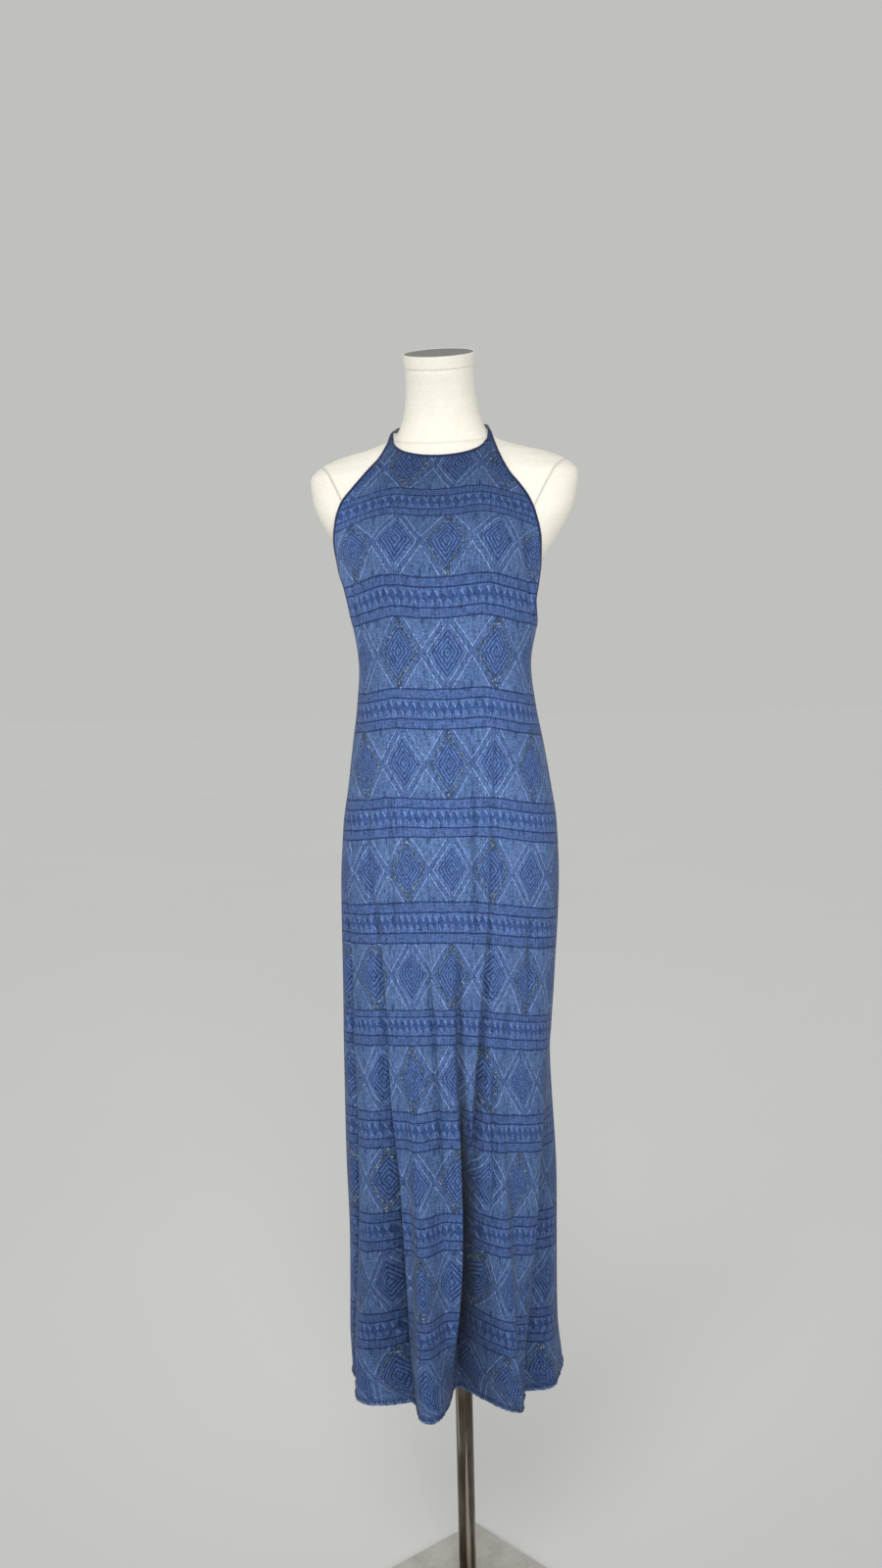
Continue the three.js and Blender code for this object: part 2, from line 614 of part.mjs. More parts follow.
const backEdge = back[SKIRT_ROWS];
const backTapeEdge = [
  between(backEdge[0], backEdge[1], TAPE.backStart),
  ...backEdge.slice(1, -1),
  between(backEdge[BACK_COLUMNS], backEdge[BACK_COLUMNS - 1], TAPE.backStart),
];
add("back_edge_binding", tapeSolid(backTapeEdge), "navy");

const neckEdge = front[front.length - 1];
const leftStrap = strapStations(neckEdge[0], false).reverse();
const rightStrap = strapStations(neckEdge[FRONT_COLUMNS], true);
const neckTape = [...leftStrap, ...neckEdge, ...rightStrap];
const widenSteps = 3;
const strapWidth = (i) => {
  const fromFront = Math.max(STRAP_STEPS - i, i - STRAP_STEPS - FRONT_COLUMNS, 0);
  return THREE.MathUtils.lerp(TAPE.width, STRAP.width, clamp(fromFront / widenSteps));
};
add("neck_binding", tapeSolid(neckTape, strapWidth), "navy");

const buttonProfile = [
  [0, 0],
  [BUTTON.radius, 0],
  [BUTTON.radius, BUTTON.thickness],
  [0, BUTTON.thickness],
];
const button = add("nape_button", turned(buttonProfile, 20).rotateX(-Math.PI / 2), "navy");
const strapFace = STRAP.napeBehind + LAP.step + (TAPE.thickness - CLOTH) / 2;
button.position.set(0, strapFace + SEAM_GAP, STRAP.napeLevel + STRAP.width / 2);

export default part;
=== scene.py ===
import math

import bmesh
import bpy
import numpy as np
from mathutils import Euler, Matrix, Vector


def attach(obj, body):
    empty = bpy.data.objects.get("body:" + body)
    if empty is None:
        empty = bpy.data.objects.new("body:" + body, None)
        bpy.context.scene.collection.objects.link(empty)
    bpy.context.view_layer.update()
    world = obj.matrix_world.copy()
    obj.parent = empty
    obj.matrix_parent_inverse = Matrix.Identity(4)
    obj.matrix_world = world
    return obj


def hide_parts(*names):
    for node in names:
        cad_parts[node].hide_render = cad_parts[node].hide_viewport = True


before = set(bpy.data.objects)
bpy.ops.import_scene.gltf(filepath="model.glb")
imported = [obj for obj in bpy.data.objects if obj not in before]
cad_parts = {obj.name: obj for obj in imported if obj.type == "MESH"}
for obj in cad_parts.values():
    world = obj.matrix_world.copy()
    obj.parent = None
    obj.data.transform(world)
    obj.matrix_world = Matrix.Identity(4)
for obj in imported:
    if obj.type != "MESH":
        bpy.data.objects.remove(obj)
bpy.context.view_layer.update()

# A halter maxi dress of denim-blue jacquard on a limbless linen dress form with a pole and a foot.
# The front faces -Y. Sizes are in millimetres, and each mesh is made in metres.


# ---- Foot plate ----
# A square steel plate, 10 mm thick, that lies corner to the front. Its edges are eased, and it is
# powder coated in a mottled warm grey. The pole screws into its middle.
MM = 0.001


def seen(red, green, blue):
    """A colour given as it looks, from 0 to 255, as the share of light that it throws back."""
    parts = [part / 255 for part in (red, green, blue)]
    linear = [p / 12.92 if p <= 0.04045 else ((p + 0.055) / 1.055) ** 2.4 for p in parts]
    return (*linear, 1.0)


class Wire:
    """A socket among a finish's nodes. Sums on wires add Math nodes."""

    def __init__(self, socket):
        self.socket = socket

    def node(self, kind, settings, sockets, output=0):
        """The output of a new node, set up first and then fed with numbers, colours or wires."""
        tree = self.socket.id_data
        made = tree.nodes.new("ShaderNode" + kind)
        for name, value in settings.items():
            if name == "stops":
                ramp = made.color_ramp
                while len(ramp.elements) < len(value):
                    ramp.elements.new(0.5)
                for stop, (place, colour) in zip(ramp.elements, value):
                    stop.position, stop.color = place, colour
            else:
                setattr(made, name, value)
        for name, value in sockets.items():
            if isinstance(value, Wire):
                tree.links.new(value.socket, made.inputs[name])
            else:
                made.inputs[name].default_value = value
        return Wire(made.outputs[output])

    def math(self, operation, *others):
        return self.node("Math", {"operation": operation}, dict(enumerate((self, *others))))

    def __add__(self, other):
        return self.math("ADD", other)

    def __mul__(self, other):
        return self.math("MULTIPLY", other)

    def __sub__(self, other):
        return self.math("SUBTRACT", other)

    def __rsub__(self, other):
        return self.math("MULTIPLY_ADD", -1.0, other)

    def __truediv__(self, other):
        return self.math("DIVIDE", other)

    def __mod__(self, other):
        return self.math("FLOORED_MODULO", other)

    def __abs__(self):
        return self.math("ABSOLUTE")

    __radd__ = __add__
    __rmul__ = __mul__

    def rise(self, low, high):
        """From 0 below low to 1 above high, smoothly. Low may be the larger of the two."""
        sockets = {"Value": self, "From Min": low, "From Max": high}
        return self.node("MapRange", {"interpolation_type": "SMOOTHSTEP"}, sockets)

    def within(self, width, softness):
        """1 where this distance is less than a width, with a soft edge."""
        return self.rise(width + softness, width - softness)

    def mix(self, first, second):
        """The first colour where this mask is 0, and the second where it is 1."""
        return self.node("Mix", {"data_type": "RGBA"}, {0: self, 6: first, 7: second}, 2)

    def stretched(self, x, y, z):
        """This place, with each direction drawn out by its own factor."""
        return self.node("VectorMath", {"operation": "MULTIPLY"}, {0: self, 1: (x, y, z)})

    def axis(self, name):
        """How far along X, Y or Z this place is."""
        return self.node("SeparateXYZ", {}, {"Vector": self}, name)

    def noise(self, scale, detail=2.0, roughness=0.5):
        """Soft clouds from 0 to 1 at this place, so many of them in a unit."""
        sockets = {"Vector": self, "Scale": scale, "Detail": detail, "Roughness": roughness}
        return self.node("TexNoise", {}, sockets)


def new_finish(name, **values):
    """A material, its shader with constant values set, and a wire with each point's place."""
    material = bpy.data.materials.new(name)
    material.use_nodes = True
    shader = material.node_tree.nodes["Principled BSDF"]
    for socket, value in values.items():
        shader.inputs[socket.replace("_", " ")].default_value = value
    here = Wire(material.node_tree.nodes.new("ShaderNodeTexCoord").outputs["Object"])
    return material, shader, here


def feed(shader, **wires):
    """Links wires to a shader's sockets. A height goes through a Bump of 1 mm."""
    for socket, wire in wires.items():
        if socket == "Height":
            wire = wire.node("Bump", {}, {"Strength": 1.0, "Distance": MM, "Height": wire})
            socket = "Normal"
        shader.id_data.links.new(wire.socket, shader.inputs[socket.replace("_", " ")])


coat, coat_shader, coat_place = new_finish("speckled_coat", Specular_IOR_Level=0.4)
clouds = coat_place.noise(22.0, 4.0, 0.6)
grains = coat_place.noise(420.0, 2.0)
speckle = grains.rise(0.56, 0.66)
coat_colour = clouds.rise(0.3, 0.7).mix(seen(183, 180, 172), seen(205, 202, 194))
feed(
    coat_shader,
    Base_Color=(speckle * 0.45).mix(coat_colour, seen(146, 143, 135)),
    Roughness=0.36 + clouds * 0.22,
    Height=grains * 0.12 + clouds * 0.05,
)
foot_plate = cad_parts["foot_plate"]
foot_plate.data.materials.clear()
foot_plate.data.materials.append(coat)


# ---- Pole and socket ----
# A 25 mm chromed steel tube, screwed into the foot and pushed into a turned socket. The socket's
# flange is screwed to the form's wooden underside. Both are bright, and smudged by handling.
POLE = {"radius": 12.5, "ease": 0.6, "rings": 12, "ring_inset": 2}
SEAM_GAP = 0.3
UNDERSIDE = 980.0
SOCKET = {
    "flange": 34.0, "flange_thick": 5.0, "sleeve": 17.5, "sleeve_length": 40.0, "ease": 0.8, "core": 1.0,
}
PLATE_THICK = 10.0


def new_object(name, data):
    """An object of a mesh, a light or a camera, put in the scene."""
    made = bpy.data.objects.new(name, data)
    bpy.context.scene.collection.objects.link(made)
    return made


def new_piece(name, mesh, material, slot, *nodes):
    """A smooth-shaded piece that rides on the object and stands for nodes of the frame."""
    made = new_object(name, mesh)
    mesh.materials.append(material)
    mesh.shade_smooth()
    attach(made, "root")
    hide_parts(*nodes)
    return made


def mesh_from(name, points, faces):
    """A mesh from points in millimetres. Faces are seen counter-clockwise from outside."""
    mesh = bpy.data.meshes.new(name)
    mesh.from_pydata((np.asarray(points) * MM).tolist(), [], [list(map(int, f)) for f in faces])
    mesh.update()
    return mesh


def band_faces(rows, columns, closed):
    """Quads over a grid of rows and columns, closed into rings or open."""
    row, column = np.mgrid[0 : rows - 1, 0 : columns - (0 if closed else 1)]
    beside = (column + 1) % columns
    corners = (row, column), (row, beside), (row + 1, beside), (row + 1, column)
    return np.stack([r * columns + c for r, c in corners], axis=-1).reshape(-1, 4)


def stack_mesh(name, *stacks):
    """A closed skin over each stack of rings, first ring lowest, with a fan across both ends."""
    points, faces = [], []
    for rings in stacks:
        rows, columns = rings.shape[:2]
        first = len(points)
        top, centre = first + (rows - 1) * columns, first + rows * columns
        points.extend([*rings.reshape(-1, 3), rings[0].mean(axis=0), rings[-1].mean(axis=0)])
        faces.extend((band_faces(rows, columns, True) + first).tolist())
        for c in range(columns):
            beside = (c + 1) % columns
            faces.append([centre, first + beside, first + c])
            faces.append([centre + 1, top + c, top + beside])
    return mesh_from(name, points, faces)


TURNED_AROUND = 96
TURNED_SHARP = math.radians(35)


def turned_mesh(name, profile, around=TURNED_AROUND):
    """A turned solid with sharp corners kept, from (radius, height) pairs, bottom first."""
    turns = np.linspace(0, 2 * math.pi, around, endpoint=False)
    ring = np.stack([np.cos(turns), np.sin(turns), np.zeros(around)], axis=1)
    rings = np.array([ring * radius + (0, 0, height) for radius, height in profile])
    mesh = stack_mesh(name, rings)
    mesh.set_sharp_from_angle(angle=TURNED_SHARP)
    return mesh


# The most of a side that one rounded corner takes up, and how many points round it.
MOST_EASED, EASED_POINTS = 0.45, 5


def eased(profile, size):
    """A profile with each of its corners but the first and last rounded by a short curve."""
    rounded = [profile[0]]
    for before, corner, after in zip(profile, profile[1:], profile[2:]):
        corner = np.array(corner)
        arms = []
        for other in (before, after):
            arm = np.array(other) - corner
            length = np.linalg.norm(arm)
            arms.append(corner + arm * min(size / length, MOST_EASED))
        for share in np.linspace(0, 1, EASED_POINTS):
            first = arms[0] + (corner - arms[0]) * share
            second = corner + (arms[1] - corner) * share
            rounded.append(tuple(first + (second - first) * share))
    return [*rounded, profile[-1]]


chrome, chrome_shader, chrome_place = new_finish("smudged_chrome", Metallic=1.0)
smudges = chrome_place.stretched(1, 1, 0.35).noise(38.0, 3.0, 0.6)
# Painted reflection: pale vertical streaks in the colour stand in for the floor and foot plate seen in the
# chrome.
painted_reflection_streaks = chrome_place.stretched(1, 1, 0.02).noise(230.0, 2.0)
chrome_colour = smudges.rise(0.35, 0.75).mix(seen(74, 66, 56), seen(112, 104, 93))
feed(
    chrome_shader,
    Base_Color=painted_reflection_streaks.rise(0.52, 0.7).mix(chrome_colour, seen(172, 164, 150)),
    Roughness=0.08 + smudges * 0.14,
)

flange_under = UNDERSIDE - SEAM_GAP - SOCKET["flange_thick"]
sleeve_end = flange_under - SOCKET["sleeve_length"]
pole_low, pole_high = PLATE_THICK + SEAM_GAP, flange_under - SEAM_GAP
pole_levels = np.linspace(pole_low + POLE["ring_inset"], pole_high - POLE["ring_inset"], POLE["rings"])
pole_profile = [
    (POLE["radius"] - POLE["ease"], pole_low),
    (POLE["radius"], pole_low + POLE["ease"]),
    *((POLE["radius"], z) for z in pole_levels),
    (POLE["radius"], pole_high - POLE["ease"]),
    (POLE["radius"] - POLE["ease"], pole_high),
]
new_piece("pole_tube", turned_mesh("pole_tube", pole_profile), chrome, "chrome", "pole")

bore = POLE["radius"] + SEAM_GAP
socket_corners = [
    (bore, flange_under - SEAM_GAP / 2),
    (bore, sleeve_end),
    (SOCKET["sleeve"], sleeve_end),
    (SOCKET["sleeve"], flange_under),
    (SOCKET["flange"], flange_under),
    (SOCKET["flange"], UNDERSIDE - SEAM_GAP),
    (SOCKET["core"], UNDERSIDE - SEAM_GAP),
]
socket_mesh = turned_mesh("socket_collar", eased(socket_corners, SOCKET["ease"]))
new_piece("socket_collar", socket_mesh, chrome, "chrome", "pole_socket")


# ---- Form and arm plates ----
# A foam torso under stretched off-white linen, tipped forward at the neck. The arm plates are
# covered apart and set in, so that a fine slanting seam runs round each shoulder.
def table(columns, *rows):
    """A table by its columns, each an array."""
    return dict(zip(columns.split(), np.array(rows, float).T))


FORM = table(
    "z half front back square middle",
    (980, 112, 70, 84, 2.2, 2),
    (992, 134, 86, 102, 2.2, 2),
    (1072, 142, 95, 111, 2.2, 0),
    (1155, 139, 95, 103, 2.2, 0),
    (1265, 123, 91, 82, 2.2, 0),
    (1375, 110, 84, 69, 2.2, 0),
    (1430, 116, 88, 76, 2.2, 0),
    (1480, 123, 98, 86, 2.2, 0),
    (1517, 134, 102, 93, 2.2, 0),
    (1545, 153, 99, 96, 2.3, 0),
    (1600, 181, 83, 92, 2.5, 2),
    (1636, 186, 69, 80, 2.4, 3),
    (1652, 174, 62, 70, 1.95, 2),
    (1665, 148, 58, 62, 1.6, 1),
    (1677, 103, 55, 57, 1.5, 0),
    (1686, 76, 53, 54, 1.75, -1),
    (1702, 59, 50, 51, 2, -4),
    (1727, 51, 48, 48, 2, -11),
    (1760, 47.5, 45.5, 45.5, 2, -22),
    (1781.5, 47.5, 45, 45, 2, -29.5),
)
BUST = {"apex": 66, "width": 44, "level": 1522, "height": 46, "out": 12}
NECK_TIP = {"start": 1700, "end": 1781.5, "angle": math.radians(19.6)}
NECK_SEAM = {"level": 1693, "slope": 0.35, "depth": 0.9, "width": 1.8, "grey": 1.0, "grey_soft": 1.2}
ARM_SEAM = {
    "out": 163, "level": 1630, "slope_up": 0.35, "slope_back": 0.31, "underside": 1519, "gap": 0.5,
    "grey": 2.0, "grey_soft": 2.0, "grey_above": (1540, 1560),
}
FORM_AROUND = 260
# Levels at which the form's rings lie: up to each level, in so many steps.
FORM_STEPS = (
    (984, 5), (992, 6), (1500, 60), (1620, 34), (1676, 40), (1692, 22), (1720, 16), (1781.5, 26),
)
FINE_STEPS = 900


def smooth(share):
    """From 0 to 1 with soft ends."""
    share = np.clip(share, 0, 1)
    return share * share * (3 - 2 * share)


def column(rows, key, z):
    """A column of a table at any levels, as a curve through its rows that doesn't overshoot."""
    levels, values = rows["z"], rows[key]
    z = np.clip(z, levels[0], levels[-1])
    slope = np.diff(values) / np.diff(levels)
    before, after = slope[:-1], slope[1:]
    same_way = before * after > 0
    tangent = np.zeros(len(levels))
    total = np.where(same_way, before + after, 1)
    tangent[1:-1] = np.where(same_way, 2 * before * after / total, 0)
    i = np.clip(np.searchsorted(levels, z, side="right") - 1, 0, len(levels) - 2)
    gap = levels[i + 1] - levels[i]
    t = (z - levels[i]) / gap
    ease_in = t * (1 - t) ** 2 * gap * tangent[i]
    ease_out = t * t * (t - 1) * gap * tangent[i + 1]
    return values[i] + (values[i + 1] - values[i]) * smooth(t) + ease_in + ease_out


def reach_of(half, front, back, square, turn):
    """Distance from the middle of an outline to its edge, in a direction from the front."""
    across = np.abs(np.sin(turn)) / half
    along = np.abs(np.cos(turn)) / np.where(np.cos(turn) > 0, front, back)
    return (across**square + along**square) ** (-1 / square)


def bust_rise(x, z, turn):
    """Two soft rises in front, one on each side."""
    across = (np.abs(x) - BUST["apex"]) / BUST["width"]
    along = (z - BUST["level"]) / BUST["height"]
    return BUST["out"] * np.exp(-across * across - along * along) * smooth(2 * np.cos(turn))


def form_point(turn, z, ease=0.0, side_ease=0.0):
    """A point of the form's skin, or of a skin that stands off it, more at the sides."""
    half, front, back, square, middle = (column(FORM, key, z) for key in list(FORM)[1:])
    reach = reach_of(half + side_ease, front + ease, back + ease, square, turn)
    x = reach * np.sin(turn)
    y = middle - reach * np.cos(turn) - bust_rise(x, z, turn)
    share = (z - NECK_TIP["start"]) / (NECK_TIP["end"] - NECK_TIP["start"])
    tip = math.tan(NECK_TIP["angle"]) * smooth(share)
    return np.stack([x, y, z + tip * (y - middle)], axis=-1)


def even_turns(point_at, start, stop, shares):
    """Directions that cut an outline into given shares of its length."""
    fine = np.linspace(start, stop, FINE_STEPS + 1)
    steps = np.linalg.norm(np.diff(point_at(fine), axis=0), axis=1)
    run = np.concatenate([[0], np.cumsum(steps)])
    return np.interp(shares * run[-1], run, fine)


def levels_through(start, steps):
    """Levels from a start through each (level, count) in even steps."""
    levels = [np.array([start], float)]
    for level, count in steps:
        levels.append(np.linspace(levels[-1][-1], level, count + 1)[1:])
    return np.concatenate(levels)


CUT_SHARP = math.radians(40)


def cut(solid, tool, operation):
    """The mesh left of one object when it is cut by another, or kept within it."""
    knife = solid.modifiers.new("knife", "BOOLEAN")
    knife.operation, knife.object, knife.solver = operation, tool, "EXACT"
    bpy.context.view_layer.update()
    shown = solid.evaluated_get(bpy.context.evaluated_depsgraph_get())
    mesh = bpy.data.meshes.new_from_object(shown)
    solid.modifiers.remove(knife)
    mesh.set_sharp_from_angle(angle=CUT_SHARP)
    return mesh


WEDGE_REACH = 400.0


def arm_wedge(side, clearance):
    """All that lies beyond the seam of one arm plate, as an object."""
    wedge = bmesh.new()
    bmesh.ops.create_cube(wedge, size=2 * WEDGE_REACH * MM)
    lift = ARM_SEAM["underside"] + clearance + WEDGE_REACH
    bmesh.ops.translate(wedge, verts=wedge.verts, vec=(0, 0, lift * MM))
    out = Vector((side, -ARM_SEAM["slope_back"], -ARM_SEAM["slope_up"])).normalized()
    foot = Vector((side * ARM_SEAM["out"], 0, ARM_SEAM["level"])) + out * clearance
    everything = [*wedge.verts, *wedge.edges, *wedge.faces]
    bmesh.ops.bisect_plane(wedge, geom=everything, plane_co=foot * MM, plane_no=out, clear_inner=True)
    bmesh.ops.holes_fill(wedge, edges=wedge.edges)
    mesh = bpy.data.meshes.new("wedge")
    wedge.to_mesh(mesh)
    wedge.free()
    return new_object("wedge", mesh)


linen, linen_shader, linen_place = new_finish(
    "off_white_linen", Specular_IOR_Level=0.2, Sheen_Weight=0.15, Sheen_Roughness=0.6
)
warp = linen_place.stretched(1, 1, 0.12).noise(950.0, 2.0)
weft = linen_place.stretched(0.12, 0.12, 1).noise(950.0, 2.0)
slubs = linen_place.noise(46.0, 4.0, 0.65)
threads = (warp + weft) * 0.5
linen_colour = slubs.rise(0.3, 0.75).mix(seen(236, 232, 221), seen(241, 238, 227))
linen_colour = threads.rise(0.62, 0.38).mix(linen_colour, seen(231, 226, 213))
# Painted shade: a soft grey line is painted along the arm plates' seams and round the neck, where each seam
# would lie in a little shade.
linen_x, linen_y, linen_z = (linen_place.axis(name) / MM for name in "XYZ")
seam_out = (linen_z - ARM_SEAM["level"]) * ARM_SEAM["slope_up"] + linen_y * ARM_SEAM["slope_back"]
from_arm = abs(abs(linen_x) - seam_out - ARM_SEAM["out"] - ARM_SEAM["gap"] / 2)
from_neck = abs(linen_z - linen_y * NECK_SEAM["slope"] - NECK_SEAM["level"])
arm_seam_shade = from_arm.within(ARM_SEAM["grey"], ARM_SEAM["grey_soft"]) * linen_z.rise(*ARM_SEAM["grey_above"])
neck_seam_shade = from_neck.within(NECK_SEAM["grey"], NECK_SEAM["grey_soft"])
painted_seam_shade = arm_seam_shade.math("MAXIMUM", neck_seam_shade)
feed(
    linen_shader,
    Base_Color=(painted_seam_shade * 0.4).mix(linen_colour, seen(192, 184, 166)),
    Roughness=0.82 + threads * 0.12,
    Height=threads * 0.15 + slubs * 0.1,
)

form_shares = np.linspace(0, 1, FORM_AROUND, endpoint=False)
form_rings = []
for z in levels_through(UNDERSIDE, FORM_STEPS):
    turns = even_turns(lambda fine: form_point(fine, z), -math.pi, math.pi, form_shares)
    ring = form_point(turns, z)
    # The neck is covered apart, and its seam with the shoulders is drawn in a little.
    from_seam = ring[:, 2:] - NECK_SEAM["level"] - NECK_SEAM["slope"] * ring[:, 1:2]
    drawn_in = NECK_SEAM["depth"] * np.exp(-((from_seam / NECK_SEAM["width"]) ** 2))
    outwards = ring - ring.mean(axis=0)
    outwards /= np.linalg.norm(outwards, axis=1, keepdims=True)
    form_rings.append(ring - outwards * drawn_in)
whole_form = new_object("whole_form", stack_mesh("whole_form", np.array(form_rings)))
torso = whole_form
spare = []
for side, name in ((-1, "left"), (1, "right")):
    tight, loose = arm_wedge(side, 0.0), arm_wedge(side, ARM_SEAM["gap"])
    plate = cut(whole_form, loose, "INTERSECT")
    new_piece("shoulder_plate_" + name, plate, linen, "linen", "arm_plate_" + name)
    spare += [tight, loose, torso]
    torso = new_object("torso_step", cut(torso, tight, "DIFFERENCE"))
new_piece("linen_torso", torso.data.copy(), linen, "linen", "form_body")
for used in {*spare, torso}:
    bpy.data.objects.remove(used)


# ---- Neck cap ----
# A linen-covered band, tipped with the neck, and a grey moulded disc let into its top. The band
# is wrapped round a wooden puck; the disc is pressed in and stands just below the rim.
CAP = {
    "radius": 49.0, "height": 17.0, "lip": 1.8, "recess": 3.0, "disc": 2.2, "core": 0.5,
    "band_ease": 1.0, "disc_ease": 0.6,
}


def tipped(mesh, lift):
    """Sets a turned mesh on the neck's top and tips it with the neck."""
    top = Vector((0, float(FORM["middle"][-1]), float(FORM["z"][-1]))) * MM
    turn = Matrix.Rotation(NECK_TIP["angle"], 4, "X")
    mesh.transform(Matrix.Translation(top) @ turn @ Matrix.Translation((0, 0, lift * MM)))
    return mesh


disc_radius = CAP["radius"] - CAP["lip"]
band_corners = [
    (CAP["core"], 0.0),
    (CAP["radius"], 0.0),
    (CAP["radius"], CAP["height"]),
    (disc_radius, CAP["height"]),
    (disc_radius, CAP["height"] - CAP["recess"]),
    (CAP["core"], CAP["height"] - CAP["recess"]),
]
band_mesh = tipped(turned_mesh("neck_band", eased(band_corners, CAP["band_ease"])), SEAM_GAP)
new_piece("neck_band", band_mesh, linen, "linen", "neck_cap_band")

moulded, moulded_shader, moulded_place = new_finish("grey_moulding", Specular_IOR_Level=0.35)
flow = moulded_place.noise(35.0, 4.0, 0.6)
feed(
    moulded_shader,
    Base_Color=flow.rise(0.3, 0.7).mix(seen(128, 128, 124), seen(140, 140, 136)),
    Roughness=0.5 + flow * 0.2,
    Height=moulded_place.noise(700.0, 2.0) * 0.12,
)
disc_corners = [
    (CAP["core"], 0.0),
    (disc_radius - SEAM_GAP, 0.0),
    (disc_radius - SEAM_GAP, CAP["disc"]),
    (CAP["core"], CAP["disc"]),
]
disc_lift = CAP["height"] - CAP["recess"] + 2 * SEAM_GAP
disc_mesh = tipped(turned_mesh("cap_disc", eased(disc_corners, CAP["disc_ease"])), disc_lift)
new_piece("cap_disc", disc_mesh, moulded, "grey_cap", "neck_cap_disc")


# ---- Dress front and back ----
# Two full-length panels of denim-blue jacquard, sewn together at the side seams. The front reaches
# up to the neck between the armholes, and the back ends across the waist. The skirt hangs free.
CLOTH = 1.5
HEM_LEVEL = 357.0
SIDE_SEAM_TOP = 1430.0
BACK_DIP = 26.0
NECK_DROP, NECK_SQUARENESS = 38.0, 0.325
BODICE = {"ease": 6, "side_ease": 16, "blend_from": 1480, "blend_to": 1517}
SHOULDER_LIFT = {"height": 3, "from": 1620, "to": 1650}
SKIRT = table(
    "z half front back square",
    (357, 144, 98, 104, 2.7),
    (430, 143.5, 98, 105, 2.6),
    (561, 145, 98, 106, 2.5),
    (680, 148, 99, 108, 2.4),
    (826, 146.5, 101, 112, 2.4),
    (932, 149.5, 103, 115, 2.3),
    (1072, 153.5, 104, 120, 2.2),
    (1155, 150, 103, 112, 2.2),
    (1210, 142, 101, 102, 2.2),
    (1265, 134, 99, 91, 2.2),
    (1320, 125, 95, 81, 2.2),
    (1375, 120, 91, 76, 2.2),
    (1430, 128, 94, 83, 2.2),
    (1485, 142, 104, 92, 2.2),
    (1517, 151, 108, 99, 2.2),
)
SHIFT = table(
    "z shift",
    (357, -8), (430, -12), (600, -10), (826, -13), (932, -9), (1072, -4),
    (1210, -1.5), (1375, -4), (1430, -2.5), (1490, -4), (1614, -3), (1650, 0),
)
ARMHOLE = table(
    "z left right",
    (1430, 131, 126),
    (1459, 132.5, 125),
    (1485, 136.5, 129),
    (1511, 144.5, 132.5),
    (1540, 144.5, 133),
    (1570, 140, 127.5),
    (1595, 131.5, 118),
    (1614, 116.5, 105),
    (1629, 103.5, 93),
    (1643, 91, 85),
    (1656, 80, 79),
    (1670, 73, 73.5),
    (1682, 69, 69.5),
    (1692, 67.3, 67.3),
)
SIDE_SEAM = table(
    "z left right", (357, -66, 93), (1072, -64, 93), (1210, -76, 92), (1340, -90, 90), (1430, -90, 90)
)
# Hanging folds, from the left flank round the front and the back: direction at the hem and where
# the fold starts, half its spread at both, reach outwards and to one side at the hem, level of its
# start, how late it grows, and how steep its sides are.
FOLDS = table(
    "hem start hem_spread start_spread reach lean top growth steepness",
    (-53, -47, 13.5, 12, 26, 0, 900, 1.2, 2),
    (-31, -46, 8, 6, -4, 0, 1000, 1.0, 2),
    (-12.5, -20, 11, 8, 50, 5, 900, 1.1, 2.4),
    (17.5, 18, 19.8, 3.6, -55, -9, 770, 0.8, 4),
    (38.3, 34, 6.5, 7, 38, 2, 960, 1.3, 2.3),
    (62, 90, 8.4, 9, -28, 0, 860, 0.9, 2),
    (112, 108, 18, 18, 12, 0, 900, 1.3, 2),
    (142, 146, 16, 16, -16, 0, 960, 1.3, 2),
    (166, 164, 13, 13, 16, 0, 880, 1.3, 2),
    (190, 186, 14, 14, -20, 0, 1000, 1.3, 2),
    (214, 212, 14, 14, 18, 0, 900, 1.3, 2),
    (242, 246, 15, 15, -14, 0, 940, 1.3, 2),
    (268, 262, 14, 14, 10, 0, 900, 1.3, 2),
)
# A fold keeps its first spread until it nears the hem.
WIDENING = 5
